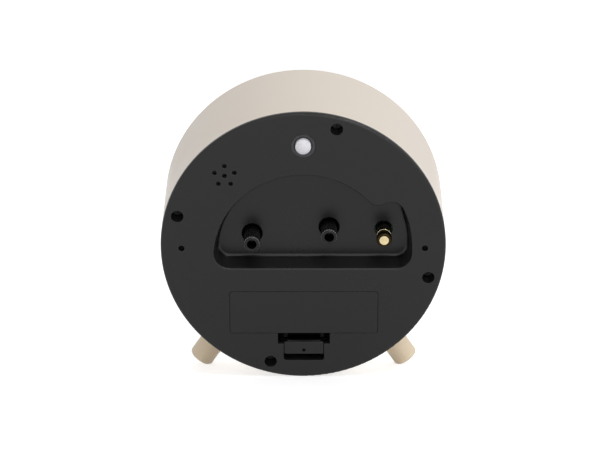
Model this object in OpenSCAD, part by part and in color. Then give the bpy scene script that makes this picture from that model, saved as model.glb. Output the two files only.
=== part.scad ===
// Round table alarm clock that leans back on two peg feet and the lower rim of its back cover.
// Every piece is drawn lying on its face, as seen from behind: x to the right, y up, z out of the back.
// z = 0 is the flat outside of the back cover, and the middle of the drum is x = y = 0.
// standing() then tips the clock back and sets it on the table, centred over the origin.

/* [Case] */
// Outer diameter of the drum
case_d = 110; // [109:0.5:124]
// Thickness of the drum's wall
case_wall = 1.8; // [1.4:0.1:2]
// Rounding of the drum's front rim
front_edge_r = 0.8; // [0.4:0.1:1.2]
// Radial width of the inner ledge that the dial rests on
ledge_w = 2.6; // [1.6:0.1:3]
// Thickness of that ledge
ledge_t = 2; // [1.2:0.1:3]
// How far the clock leans back, in degrees
lean = 15.4; // [12:0.2:18]

/* [Back cover] */
// Thickness of the cover's flat plate
cover_t = 1.8; // [1.6:0.1:2.4]
// Rounding of the cover's outer rim
cover_edge_r = 1; // [0.4:0.1:1.4]
// Depth of the skirt that centres the cover in the drum
skirt_h = 3; // [2:0.2:5]
// Thickness of that skirt
skirt_t = 1.2; // [0.8:0.1:1.4]
// Gap between the pieces of the housing that slide into each other
fit_gap = 0.2; // [0.1:0.05:0.3]
// Distance of the screw wells from the rim of the drum
well_inset = 5; // [4.8:0.1:6]
// Direction of the first screw well, in degrees
well_first_angle = 75.2; // [70:0.2:80]
// Diameter of a screw well
well_d = 4.8; // [4.4:0.1:5]
// Depth of a screw well down to the screw's head seat
well_depth = 8.4; // [6:0.2:10]
// Diameter of the two small holes at the sides
peg_hole_d = 2.4; // [2:0.1:3]
// Distance of the two small holes from the rim of the drum
peg_inset = 8.1; // [7:0.1:9]

/* [Control recess] */
// Depth of the control recess below the cover's face
recess_depth = 9.5; // [7:0.1:11]
// Thickness of the recess's walls and floor
tray_wall = 1.6; // [1.2:0.1:1.8]
// Distance of the big arc over the knobs from the rim of the drum
recess_top_inset = 25.5; // [24:0.1:27]
// Height of that arc's centre
main_y = -5; // [-6:0.1:-4]
// Distance of the right-hand side from the rim of the drum
recess_side_inset = 13.2; // [12.6:0.1:14]
// Radius of the bump over the alarm pin
bump_r = 5.4; // [4.5:0.1:6]
// Direction of the bump from the middle of the right-hand side's arc, in degrees
bump_angle = 22.5; // [20:0.5:25]
// Radius of the hollow between the bump and the big arc
notch_r = 4.2; // [3.5:0.1:6]
// Height of the recess's straight lower edge
base_y = -8.8; // [-9.5:0.1:-8]
// Radius of the two lower corners
corner_r = 6; // [4:0.1:8]
// How far the walls lean in from rim to floor
draft = 1; // [0.4:0.1:1.5]
// Rounding between wall and floor
floor_r = 1.2; // [0.6:0.1:2]
// Rounding of the recess's rim
rim_r = 0.8; // [0.4:0.1:1.2]

/* [Knobs] */
// Position of the time knob
time_x = -19.8; // [-20.5:0.1:-19]
// Height of the time knob
time_y = 1.9; // [1:0.1:3]
// How far the time knob stands out of the cover's face
time_proud = 2; // [0:0.1:3]
// Position of the alarm-setting knob
alarm_x = 10; // [9:0.1:11]
// Height of the alarm-setting knob
alarm_y = 4.5; // [3:0.1:6]
// How far the alarm-setting knob stands out of the cover's face
alarm_proud = 1.1; // [0:0.1:3]
// Outer diameter of both knobs over their ribs
knob_d = 6.4; // [5.6:0.1:7]
// Number of ribs round a knob
knob_ribs = 20; // [14:1:28]
// Depth of the grooves between the ribs
rib_depth = 0.3; // [0.2:0.05:0.4]
// Length of a knob
knob_len = 15; // [13.5:0.5:16]
// Diameter of the blind hole in a knob's end
knob_end_bore_d = 3.5; // [2.5:0.1:4]
// Depth of that blind hole
knob_end_bore_h = 3; // [1:0.1:5]
// Gap round a knob where it passes the recess floor
knob_gap = 0.85; // [0.5:0.05:1.1]
// Diameter of the stems that carry the knobs
stem_d = 3; // [2.4:0.1:3.4]

/* [Alarm pin] */
// Position of the push and pull alarm pin
pin_x = 31.1; // [30.5:0.1:32]
// Height of the alarm pin
pin_y = 3.7; // [2:0.1:5]
// Diameter of the pin's head
pin_head_d = 6.2; // [5.4:0.1:6.4]
// Length of the pin's head
pin_head_h = 3.3; // [2.5:0.1:5]
// How far the head stands out of the cover's face with the alarm on
pin_proud = 2.3; // [1:0.1:3]
// Rounding of the head's end
pin_head_r = 1.2; // [0.5:0.1:1.6]
// Diameter of the groove behind the head
pin_groove_d = 4.4; // [3.4:0.1:5]
// Width of that groove
pin_groove_h = 1.4; // [0.8:0.1:2]
// Diameter of the pin's body
pin_body_d = 5.8; // [5:0.1:6]
// Diameter of the pin's tip inside the switch
pin_tip_d = 3; // [2:0.1:3.4]
// Travel of the alarm pin
pin_travel = 3; // [2:0.1:3.5]

/* [Light button] */
// Distance of the light and snooze button from the rim of the drum
button_inset = 13.5; // [13:0.1:14.5]
// Diameter of the button
button_d = 6; // [5:0.1:6.4]
// How far the button stands out of the cover's face
button_proud = 2; // [1.6:0.1:3]
// Height of the button's dome
dome_h = 1.2; // [0.5:0.1:1.5]
// Travel of the button
button_travel = 1; // [0.6:0.1:1.2]
// Diameter of the shallow dish round the button
dish_d = 10; // [8.6:0.1:11]
// Depth of that dish
dish_h = 0.8; // [0.4:0.1:1]
// Gap between the button and its hole
button_gap = 0.25; // [0.15:0.05:0.35]

/* [Battery door] */
// Position of the middle of the door
door_x = 0.2; // [-0.5:0.1:0.5]
// Distance of the finger pit under the latch from the rim of the drum
pit_inset = 7.1; // [6.6:0.1:7.6]
// Thickness of the door
door_t = 1.6; // [1.2:0.1:1.6]
// Gap between the door and its opening
door_gap = 0.25; // [0.2:0.05:0.4]
// Width of the ledge that the door lies on
door_ledge = 1.2; // [0.8:0.1:1.3]
// Width of the thumb tab of the latch
tab_w = 15.3; // [13:0.1:16]
// Height of the thumb tab
tab_h = 5.1; // [4:0.1:5.3]
// Width of the dark slot between door and thumb tab
slot_w = 20.3; // [18:0.1:22]
// Height of that slot
slot_h = 4.4; // [4:0.1:5]
// Height of the finger pit below the thumb tab
pit_h = 2.6; // [2:0.1:3]

/* [Battery] */
// Diameter of the cell
cell_d = 14.2; // [13.7:0.1:14.5]
// Length of the cell's can
cell_len = 49.2; // [48:0.1:49.6]
// Length of the cell's button end
cell_nub_h = 1.3; // [1:0.1:1.5]
// Gap between the cell and the bay's long walls
cell_play = 0.6; // [0.4:0.1:0.8]
// Thickness of the bay's walls
bay_wall = 1.4; // [1.2:0.1:1.6]
// Thickness of the flat contact
contact_t = 0.5; // [0.3:0.1:0.8]
// Wire diameter of the contact spring
spring_wire_d = 0.8; // [0.6:0.1:1]
// Length of the contact spring with the cell in place
spring_len = 4.2; // [3.6:0.1:5]
// Number of turns of the contact spring
spring_turns = 3; // [2:0.5:3.5]

/* [Feet] */
// Diameter of a peg foot
foot_d = 10; // [8:0.1:11]
// Direction of a foot from straight down, in degrees
foot_angle = 34; // [30:0.5:38]
// Distance of the feet's axes from the cover's face
foot_inset = 32; // [31:0.5:33]
// Rounding of a foot's end
foot_edge_r = 1.5; // [0.6:0.1:2]
// Depth of the flat that a foot stands on
foot_flat = 0.25; // [0.15:0.05:0.4]
// Shaft diameter of the screw in each foot
foot_screw_d = 2.6; // [2:0.1:3]

/* [Lens and dial] */
// Height of the ring that holds the lens in the front of the drum
ring_h = 2; // [1.6:0.1:2.4]
// Inner radius of that ring, short of the drum's outer radius by this
ring_inset = 4.6; // [4:0.1:5.5]
// Thickness of the lens
lens_t = 1.8; // [1.4:0.1:2]
// How far the lens bulges in the middle
lens_rise = 1.3; // [0.8:0.1:1.5]
// Distance from the lens's rim to the dial
dial_gap = 6.4; // [6:0.1:7]
// Room between the movement and the battery bay
movement_gap = 4.9; // [4.2:0.1:8]
// Thickness of the dial
dial_t = 1; // [0.8:0.1:1.4]
// How far the white ring round the dial slopes inwards
slope_w = 1.2; // [0.8:0.1:1.6]
// Length of an hour bar
bar_len = 5; // [3:0.5:7]
// Width of an hour bar
bar_w = 1.4; // [1:0.1:2]
// Gap between the hour bars and the sloping ring
bar_inset = 2.4; // [1:0.1:4]

/* [Hands] */
// Length of the hour hand
hour_len = 26; // [22:0.5:30]
// Length of the minute hand
minute_len = 38; // [32:0.5:42]
// Length of the second hand
second_len = 41; // [34:0.5:43]
// Length of the alarm hand
alarm_len = 20; // [16:0.5:24]
// Thickness of a hand
hand_t = 0.4; // [0.3:0.05:0.5]
// Distance from one hand to the next
hand_step = 1.05; // [0.9:0.05:1.2]

/* [Movement] */
// Width and height of the movement's housing
movement_w = 56; // [54:0.5:56.5]
// Depth of the movement's housing
movement_h = 16; // [15:0.5:17]
// Thickness of the housing's walls
movement_wall = 1.5; // [1.2:0.1:1.8]
// Sideways shift of the housing from the middle of the dial
movement_shift = -2; // [-2.5:0.1:-1.5]
// Diameter of the threaded bush that holds the dial
bush_d = 8; // [7.6:0.1:9]
// Height of the nut on the bush
nut_h = 1.5; // [1.2:0.1:1.6]
// Thickness of the wheels
wheel_t = 1; // [0.8:0.1:1.2]
// Gap between one wheel and the next
wheel_gap = 0.4; // [0.3:0.05:0.5]
// Clearance of a turning shaft in its hole
run_gap = 0.06; // [0.03:0.01:0.08]
// Play between meshing teeth, as a share of the tooth module
tooth_play = 0.2; // [0.15:0.01:0.3]

/* [Circuit and sounder] */
// Thickness of the circuit board
board_t = 1.2; // [1:0.1:1.6]
// Depth of the board's rear face below the cover's face
board_depth = 12.8; // [12.6:0.1:14]
// Inner radius of the board
board_in_r = 27; // [26:0.5:27.5]
// Distance of the board's outer edge from the rim of the drum
board_inset = 9.4; // [9.4:0.1:10.4]
// Diameter of the sounder
sounder_d = 12; // [12:0.5:17.5]
// Height of the sounder
sounder_h = 6; // [5:0.5:8]
// Distance of the sounder's middle from the rim of the drum
sounder_inset = 12.9; // [12.4:0.1:14]
// Direction of the sounder from the middle of the drum, in degrees
sounder_angle = 135.5; // [133:0.5:138]
// Radius of the ring of sound holes
grille_r = 4; // [3:0.1:5]
// Diameter of a sound hole
grille_hole_d = 1.8; // [1.2:0.1:2.2]

/* [Hidden] */
$fn = 96;

over = 1;
case_r = case_d / 2;
inner_r = case_r - case_wall;

// Battery bay, from the cell and its contacts
cell_r = cell_d / 2;
cell_under_door = 0.4;
cell_over_floor = 0.3;
cell_z = -door_t - cell_under_door - cell_r;
bay_depth = cell_r - cell_z + cell_over_floor;
contact_dimple_h = 0.1;
bay_w = contact_t + contact_dimple_h + cell_nub_h + cell_len + spring_len;
bay_h = cell_d + 2 * cell_play;
door_w = bay_w + 2 * door_ledge;
door_h = bay_h + 2 * door_ledge;

// The drum is as deep as the stack of pieces in it
case_depth = ring_h + lens_t + dial_gap + dial_t + movement_h + movement_gap + bay_wall + bay_depth;

// Table height and the middle of the standing clock, from its four outermost rims
table_h = cover_edge_r * sin(lean) - (case_r - cover_edge_r) * cos(lean) - cover_edge_r;
rear_y = (case_r - cover_edge_r) * sin(lean) - cover_edge_r * cos(lean) + cover_edge_r;
front_y = (front_edge_r - case_depth) * cos(lean) - (case_r - front_edge_r) * sin(lean) - front_edge_r;

// Depths of the stack behind the lens
ring_z = -case_depth;
lens_z = ring_z + ring_h;
dial_ring_z = lens_z + lens_t;
dial_z = dial_ring_z + dial_gap;
ledge_z = dial_z + dial_t;
lens_r = inner_r - fit_gap;
lens_sight_r = case_r - ring_inset;
dial_edge_r = lens_sight_r - slope_w;

// Movement levels, counted from the wheel nearest to the dial
movement_z = ledge_z;
lid_z = movement_z + movement_h - movement_wall;
function level(i) = movement_z + movement_wall + wheel_gap + i * (wheel_t + wheel_gap);
bush_h = dial_t + nut_h + 0.5;
hub_z = movement_z - bush_h - 0.3;
function hand_z(i) = hub_z - i * hand_step - hand_t;
second_pipe_r = 0.5;
minute_pipe_r = second_pipe_r + run_gap + 0.65;
hour_pipe_r = minute_pipe_r + run_gap + 0.65;
alarm_pipe_r = hour_pipe_r + run_gap + 0.7;

// Wheel counts and places
cannon_teeth = 12;
motion_teeth = 36;
motion_pinion_teeth = 10;
hour_teeth = 40;
setting_teeth = 16;
alarm_teeth = 32;
alarm_pinion_teeth = 16;
centre = [0, 0];
time_at = [time_x, time_y];
alarm_at = [alarm_x, alarm_y];
time_dist = norm(time_at);
// The two steps from the middle to the time stem are a little longer than the straight way
motion_mod = 2 * time_dist * 1.006 / (cannon_teeth + 2 * motion_teeth + setting_teeth);
motion_dist = motion_mod * (cannon_teeth + motion_teeth) / 2;
setting_dist = motion_mod * (motion_teeth + setting_teeth) / 2;
motion_turn = acos(
    (pow(time_dist, 2) + pow(motion_dist, 2) - pow(setting_dist, 2)) / (2 * time_dist * motion_dist)
);
motion_dir = atan2(time_y, time_x) + motion_turn;
motion_at = motion_dist * [cos(motion_dir), sin(motion_dir)];
hour_mod = 2 * motion_dist / (motion_pinion_teeth + hour_teeth);
alarm_mod = 2 * norm(alarm_at) / (alarm_teeth + alarm_pinion_teeth);
motion_post_r = 1.6;
minute_wheel_r = motion_dist - motion_post_r - 0.6;
second_wheel_r = minute_wheel_r - 1.8;
second_post_r = 2.2;
pressure_angle = 20;

// Time on the dial
hour_shown = 10 + 8 / 60;
minute_shown = 8;
second_shown = 35;
alarm_shown = 6.5;

stem_r = stem_d / 2;
pivot_r = 0.7;
pivot_in = 0.8;
pivot_z = movement_z + movement_wall - pivot_in;
post_in = 1.6;
knob_r = knob_d / 2;
peg_r = peg_hole_d / 2 - 0.2;
peg_y = -0.5;
peg_x = case_r - peg_inset;
foot_r = foot_d / 2;

// Length of a foot, from how low its end has to reach
foot_slope = sqrt(pow(sin(foot_angle) * cos(lean), 2) + pow(sin(lean), 2));
foot_drop = foot_inset * sin(lean) - (foot_r - foot_edge_r) * foot_slope - foot_edge_r - table_h + foot_flat;
foot_reach = foot_edge_r + foot_drop / (cos(foot_angle) * cos(lean));

// Door and latch, stacked up from the finger pit near the rim
tab_under_slot = 0.6;
pit_low_y = pit_inset - case_r;
tab_low_y = pit_low_y + pit_h;
tab_top_y = tab_low_y + tab_h;
door_low_y = tab_top_y + slot_h - tab_under_slot;
door_top_y = door_low_y + door_h;
door_y = door_top_y - door_h / 2;
cell_left = door_x - bay_w / 2 + contact_t + contact_dimple_h;
cell_right = cell_left + cell_nub_h + cell_len;
leaf_t = 1.1;
leaf_w = tab_w - 2.4;
leaf_depth = 8;
leaf_in_y = door_low_y + door_gap;
leaf_out_y = tab_top_y - 0.4;
bend_r = (leaf_in_y - leaf_out_y) / 2;
pit_depth = leaf_depth + bend_r + leaf_t + 0.8;
pit_r = 1.2;

// Screw wells and posts
well_r = case_r - well_inset;
well_seat_z = -well_depth;
well_floor_t = 1.6;
boss_z = well_seat_z - well_floor_t;
boss_r = well_d / 2 + 1;
screw_r = 1.25;
well_angles = [for (i = [0:3]) well_first_angle + i * 90];
board_post_angles = [33, 58, 105];
board_out_r = case_r - board_inset;
board_post_at = board_out_r - 3.1;
button_y = case_r - button_inset;
sounder_at = (case_r - sounder_inset) * [cos(sounder_angle), sin(sounder_angle)];
board_z = -board_depth - board_t;
board_screw_r = 0.9;
board_screw_in = 4;
pin_gap = 0.35;
pin_body_gap = 0.3;
cover_screw_in = 11;
head_r = well_d / 2 - 0.3;

// Arc chain of the control recess, all arcs tangent to each other and to the straight lower edge
main_c = [0, main_y];
main_r = case_r - recess_top_inset - main_y;
side_c = [0, -1];
side_r = case_r - recess_side_inset;
function corner_centre(c, big_r, side) =
    [c.x + side * sqrt(pow(big_r - corner_r, 2) - pow(base_y + corner_r - c.y, 2)), base_y + corner_r];
left_c = corner_centre(main_c, main_r, -1);
right_c = corner_centre(side_c, side_r, 1);
bump_c = side_c + (side_r - bump_r) * [cos(bump_angle), sin(bump_angle)];
function toward(a, b) = atan2(b.y - a.y, b.x - a.x);
// Upper point that lies ra from a and rb from b
function meeting_point(a, ra, b, rb) =
    let (
        d = norm(b - a),
        along = (ra * ra - rb * rb + d * d) / (2 * d),
        across = sqrt(ra * ra - along * along),
        e = (b - a) / d
    )
    a + along * e + across * [-e.y, e.x];
notch_c = meeting_point(main_c, main_r + notch_r, bump_c, bump_r + notch_r);
function arc(c, r, from, to, steps) =
    [for (i = [0:steps]) c + r * [cos(from + (to - from) * i / steps), sin(from + (to - from) * i / steps)]];
// Outline of the recess, moved outwards by grow
function recess_outline(grow) = concat(
    arc(right_c, corner_r + grow, -90, toward(side_c, right_c), 7),
    arc(side_c, side_r + grow, toward(side_c, right_c), bump_angle, 4),
    arc(bump_c, bump_r + grow, bump_angle, toward(bump_c, notch_c), 8),
    arc(notch_c, notch_r - grow, toward(notch_c, bump_c), toward(notch_c, main_c), 6),
    arc(main_c, main_r + grow, toward(main_c, notch_c), toward(main_c, left_c), 28),
    arc(left_c, corner_r + grow, toward(main_c, left_c), 270, 7)
);
fillet_steps = 4;
function floor_levels() = [for (i = [0:fillet_steps]) let (t = 90 * i / fillet_steps)
    [-recess_depth + floor_r * (1 - cos(t)), -draft - floor_r * (1 - sin(t))]];
function rim_levels() = [for (i = [0:fillet_steps]) let (t = 90 * i / fillet_steps)
    [-rim_r * (1 - sin(t)), rim_r * (1 - cos(t))]];

// Stands a piece up, drawn as seen from behind
module standing() {
    translate([0, -(rear_y + front_y) / 2, -table_h])
        rotate([-lean, 0, 0])
            rotate([90, 0, 180])
                children();
}

// Places children at a point of the back view
module at(p, z) {
    translate([p.x, p.y, z]) children();
}

module tube(outer_r, hole_r, h) {
    difference() {
        cylinder(h = h, r = outer_r);
        translate([0, 0, -over]) cylinder(h = h + 2 * over, r = hole_r);
    }
}

// Plate with four rounded corners, centred in x and y
module rounded_plate(w, h, t, r) {
    translate([-w / 2 + r, -h / 2, 0]) cube([w - 2 * r, h, t]);
    translate([-w / 2, -h / 2 + r, 0]) cube([w, h - 2 * r, t]);
    for (x = [-1, 1])
        for (y = [-1, 1])
            translate([x * (w / 2 - r), y * (h / 2 - r), 0]) cylinder(h = t, r = r);
}

// Block centred in x and y
module block(w, h, t) {
    translate([-w / 2, -h / 2, 0]) cube([w, h, t]);
}

// Solid through outlines of the recess, one for each pair of height and growth
module recess_solid(levels) {
    rings = [for (l = levels) recess_outline(l[1])];
    n = len(rings[0]);
    top = n * (len(levels) - 1);
    points = [for (k = [0:len(levels) - 1]) for (p = rings[k]) [p.x, p.y, levels[k][0]]];
    sides = [for (k = [0:len(levels) - 2]) for (i = [0:n - 1])
        [k * n + i, (k + 1) * n + i, (k + 1) * n + (i + 1) % n, k * n + (i + 1) % n]];
    bottom = [[for (i = [0:n - 1]) i]];
    lid = [[for (i = [n - 1:-1:0]) top + i]];
    polyhedron(points = points, faces = concat(bottom, sides, lid), convexity = 6);
}

// Involute wheels
function involute(a) = tan(a) * 180 / PI - a;
function tooth_half(r, pitch_r, n) =
    (90 - tooth_play * 180 / PI) / n + involute(pressure_angle)
    - (r > pitch_r * cos(pressure_angle) ? involute(acos(pitch_r * cos(pressure_angle) / r)) : 0);
function tooth_radii(pitch_r, mod) = [
    pitch_r - 1.25 * mod,
    max(pitch_r * cos(pressure_angle), pitch_r - 0.62 * mod),
    pitch_r,
    pitch_r + 0.9 * mod
];
function polar(r, a) = r * [cos(a), sin(a)];
function wheel_outline(n, mod) = let (p = n * mod / 2, radii = tooth_radii(p, mod))
    [for (k = [0:n - 1]) each concat(
        [for (i = [0:3]) polar(radii[i], 360 * k / n - tooth_half(radii[i], p, n))],
        [for (i = [3:-1:0]) polar(radii[i], 360 * k / n + tooth_half(radii[i], p, n))]
    )];
// Turn of a wheel that puts it in mesh with another one, seen in direction dir from that one
function mesh_turn(dir, teeth, turn, next_teeth) =
    dir + 180 - 180 / next_teeth - teeth / next_teeth * (turn - dir);
motion_phase = mesh_turn(motion_dir, cannon_teeth, 0, motion_teeth);
hour_phase = mesh_turn(motion_dir + 180, motion_pinion_teeth, motion_phase, hour_teeth);
setting_phase = mesh_turn(toward(motion_at, time_at), motion_teeth, motion_phase, setting_teeth);
alarm_phase = mesh_turn(toward(centre, alarm_at), alarm_teeth, 0, alarm_pinion_teeth);

module wheel(teeth, mod, turn, t) {
    rotate([0, 0, turn]) linear_extrude(height = t) polygon(wheel_outline(teeth, mod));
}

// Tapered hand from the middle upwards, with a hub and a tail
module hand(length, wide, tip, tail, hub_r, pipe_r) {
    difference() {
        union() {
            linear_extrude(height = hand_t)
                polygon([[-wide / 2, -tail], [wide / 2, -tail], [tip / 2, length], [-tip / 2, length]]);
            cylinder(h = hand_t, r = hub_r);
        }
        translate([0, 0, -over]) cylinder(h = hand_t + 2 * over, r = pipe_r);
    }
}

// Drum with its ledge, screw bosses and the two pegs that centre the cover
module case_body() {
    color("#ded4c8")
        standing()
            difference() {
                union() {
                    drum_shell();
                    intersection() {
                        case_bosses();
                        translate([0, 0, -case_depth]) cylinder(h = case_depth, r = case_r - case_wall / 2);
                    }
                }
                for (a = well_angles)
                    at(polar(well_r, a), well_seat_z - cover_screw_in - over)
                        cylinder(h = cover_screw_in + over, r = screw_r);
                pit_solid(bay_wall + fit_gap, -pit_depth - bay_wall - fit_gap, over);
                for (side = [-1, 1])
                    foot_axis(side) cylinder(h = case_r + over, r = foot_screw_d / 2 + foot_screw_gap);
            }
}

module drum_shell() {
    rotate_extrude() {
        difference() {
            union() {
                translate([inner_r, ring_z]) square([case_wall, case_depth - cover_t]);
                translate([inner_r - ledge_w, ledge_z]) square([ledge_w + case_wall / 2, ledge_t]);
            }
            translate([case_r - front_edge_r, ring_z - over])
                square([front_edge_r + over, front_edge_r + over]);
        }
        intersection() {
            translate([case_r - front_edge_r, ring_z + front_edge_r]) circle(r = front_edge_r);
            translate([case_r - front_edge_r, ring_z]) square([front_edge_r, front_edge_r]);
        }
    }
}

// How deep the pegs end below the cover's face, and the ribs that hold them
peg_sink = 0.7;
rib_t = 1.6;
rib_gap = 0.6;

module case_bosses() {
    boss_low = ledge_z + ledge_t / 2;
    for (a = well_angles)
        at(polar(well_r, a), boss_low) cylinder(h = boss_z - boss_low, r = boss_r);
    for (side = [-1, 1]) {
        at([side * peg_x, peg_y], boss_low) cylinder(h = -cover_t - fit_gap - boss_low, r = peg_r + 1);
        at([side * peg_x, peg_y], -cover_t - over) cylinder(h = over + cover_t - peg_sink, r = peg_r);
        at([side * (peg_x + inner_r + case_wall / 2) / 2, peg_y], boss_low)
            block(inner_r + case_wall / 2 - peg_x, rib_t, -cover_t - skirt_h - rib_gap - boss_low);
        foot_axis(side) translate([0, 0, foot_seat_r])
            cylinder(h = case_r - case_wall / 2 - foot_seat_r, r = foot_pad_r);
    }
}

foot_head_h = 1.6;
foot_seat_r = inner_r - foot_head_h;
foot_pad_r = 4;
foot_screw_gap = 0.3;

// Turns z to a foot's direction: side is -1 for the left one and 1 for the right one, as seen from behind
module foot_axis(side) {
    translate([0, 0, -foot_inset]) rotate([0, 0, side * foot_angle]) rotate([90, 0, 0]) children();
}

// Ring pressed into the front of the drum, over the lens's rim
module lens_ring() {
    color("#ded4c8")
        standing()
            translate([0, 0, ring_z])
                tube(inner_r, lens_sight_r, ring_h);
}

// Clear lens, flat at its rim and bulging forwards in the middle
module lens() {
    steps = 10;
    bulge_r = (pow(lens_sight_r, 2) + pow(lens_rise, 2)) / (2 * lens_rise);
    sweep = asin(lens_sight_r / bulge_r);
    color("#e8f0f4", 0.35)
        standing()
            rotate_extrude()
                polygon(concat(
                    [for (i = [0:steps]) let (a = sweep * i / steps)
                        [bulge_r * sin(a), lens_z + bulge_r * (1 - cos(a)) - lens_rise]],
                    [[lens_r, lens_z], [lens_r, lens_z + lens_t]],
                    [for (i = [steps:-1:0]) let (a = sweep * i / steps)
                        [bulge_r * sin(a), lens_z + lens_t + bulge_r * (1 - cos(a)) - lens_rise]]
                ));
}

// White ring between lens and dial, sloping in towards the dial, with two pockets for the lamps
module dial_ring() {
    color("#f2eee6")
        standing()
            difference() {
                rotate_extrude()
                    polygon([
                        [lens_sight_r, dial_ring_z],
                        [lens_r, dial_ring_z],
                        [lens_r, dial_z],
                        [dial_edge_r, dial_z]
                    ]);
                lamp_places() translate([-lamp_w / 2 - fit_gap, 0, -lamp_h / 2 - fit_gap])
                    cube([lamp_w + 2 * fit_gap, case_r, lamp_h + 2 * fit_gap]);
            }
}

lamp_w = 3.4;
lamp_h = 2.6;
lamp_t = 1.6;

module lamp_places() {
    for (a = [-18, 18])
        rotate([0, 0, a]) translate([0, lens_sight_r - slope_w / 2, (dial_ring_z + dial_z) / 2]) children();
}

// Two lamps that light the dial from its upper edge, each with a small carrier against the drum
module dial_lamps() {
    color("#fff3c8")
        standing()
            intersection() {
                lamp_places() translate([-lamp_w / 2, lamp_t / 2, -lamp_h / 2])
                    cube([lamp_w, case_r, lamp_h]);
                translate([0, 0, dial_ring_z]) cylinder(h = dial_gap, r = inner_r);
            }
}

module dial() {
    color("#f4efe4")
        standing()
            translate([0, 0, dial_z])
                tube(lens_r, bush_d / 2, dial_t);
}

// Twelve raised hour bars, longer at the quarters
module hour_bars() {
    bar_h = 0.4;
    color("#3a3a3c")
        standing()
            for (i = [0:11]) {
                length = i % 3 == 0 ? bar_len * 1.3 : bar_len;
                rotate([0, 0, 30 * i])
                    translate([-bar_w / 2, dial_edge_r - bar_inset - length, dial_z - bar_h])
                        cube([bar_w, length, bar_h]);
            }
}

module hour_hand() {
    color("#2c2c2e")
        standing()
            translate([0, 0, hand_z(1)])
                rotate([0, 0, 30 * hour_shown])
                    hand(hour_len, wide = 3.4, tip = 2, tail = 6, hub_r = 4, pipe_r = hour_pipe_r);
}

module minute_hand() {
    color("#2c2c2e")
        standing()
            translate([0, 0, hand_z(2)])
                rotate([0, 0, 6 * minute_shown])
                    hand(minute_len, wide = 2.8, tip = 1.5, tail = 7, hub_r = 3.2, pipe_r = minute_pipe_r);
}

module second_hand() {
    color("#b8913f")
        standing()
            translate([0, 0, hand_z(3)])
                rotate([0, 0, 6 * second_shown])
                    hand(second_len, wide = 1, tip = 0.6, tail = 12, hub_r = 2.2, pipe_r = second_pipe_r);
}

// Small cap over the hub of the second hand
module second_cap() {
    color("#b8913f")
        standing()
            translate([0, 0, hand_z(3) - 0.5])
                cylinder(h = 0.5, r1 = 1, r2 = 1.5);
}

module alarm_hand() {
    color("#b8913f")
        standing()
            translate([0, 0, hand_z(0)])
                rotate([0, 0, 30 * alarm_shown])
                    hand(alarm_len, wide = 1.6, tip = 0.8, tail = 5, hub_r = 4.6, pipe_r = alarm_pipe_r);
}

module movement_block(grow, z, h) {
    at([movement_shift, 0], z)
        rounded_plate(movement_w + 2 * grow, movement_w + 2 * grow, h, movement_corner_r + grow);
}

movement_corner_r = 3;
corner_post_r = 2.4;
corner_post_at = movement_w / 2 - movement_wall - corner_post_r + 0.3;
corner_screw_r = 0.8;
corner_screw_in = 5;
movement_corners = [for (x = [-1, 1]) for (y = [-1, 1])
    [movement_shift + x * corner_post_at, y * corner_post_at]];

// Front tray of the movement, with the threaded bush, pivot holes and corner posts
module movement_base() {
    color("#3b3d40")
        standing()
            difference() {
                union() {
                    difference() {
                        movement_block(0, movement_z, movement_h - movement_wall);
                        movement_block(-movement_wall, movement_z + movement_wall, movement_h);
                    }
                    for (p = movement_corners)
                        at(p, movement_z) cylinder(h = movement_h - movement_wall, r = corner_post_r);
                    translate([0, 0, movement_z - bush_h])
                        cylinder(h = bush_h + movement_wall, r = bush_d / 2);
                }
                translate([0, 0, movement_z - bush_h - over])
                    cylinder(h = bush_h + movement_wall + 2 * over, r = alarm_pipe_r + run_gap);
                for (p = [time_at, alarm_at, motion_at])
                    at(p, pivot_z - wheel_gap / 2)
                        cylinder(h = pivot_in + over, r = pivot_r + run_gap);
                for (p = movement_corners)
                    at(p, lid_z - corner_screw_in - over)
                        cylinder(h = corner_screw_in + 2 * over, r = corner_screw_r);
            }
}

// Rear lid of the movement, with bearing posts for the arbors and holes for the two stems
module movement_cover() {
    post_low = level(4) + wheel_t + wheel_gap;
    motion_post_low = level(3) + wheel_gap;
    color("#46484c")
        standing()
            difference() {
                union() {
                    movement_block(0, lid_z, movement_wall);
                    at(centre, post_low) cylinder(h = lid_z - post_low + over / 2, r = second_post_r);
                    at(motion_at, motion_post_low)
                        cylinder(h = lid_z - motion_post_low + over / 2, r = motion_post_r);
                }
                at(centre, post_low - over)
                    cylinder(h = over + post_in + wheel_gap, r = second_pipe_r + run_gap);
                at(motion_at, motion_post_low - over)
                    cylinder(h = over + post_in + wheel_gap, r = pivot_r + run_gap);
                for (p = [time_at, alarm_at])
                    at(p, lid_z - over) cylinder(h = movement_wall + 2 * over, r = stem_r + run_gap);
                for (p = movement_corners)
                    at(p, lid_z - over) cylinder(h = movement_wall + 2 * over, r = corner_screw_r);
            }
}

module movement_screws() {
    color("#a9abad")
        standing()
            for (p = movement_corners)
                at(p, lid_z - corner_screw_in) {
                    cylinder(h = corner_screw_in + movement_wall, r = corner_screw_r);
                    translate([0, 0, corner_screw_in + movement_wall])
                        cylinder(h = 1, r1 = 2.1 * corner_screw_r, r2 = 1.7 * corner_screw_r);
                }
}

// Hexagonal nut that clamps the dial to the movement
module centre_nut() {
    color("#c9a550")
        standing()
            translate([0, 0, dial_z - nut_h])
                difference() {
                    cylinder(h = nut_h, r = bush_d / 2 + 2, $fn = 6);
                    translate([0, 0, -over]) cylinder(h = nut_h + 2 * over, r = bush_d / 2);
                }
}

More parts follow.
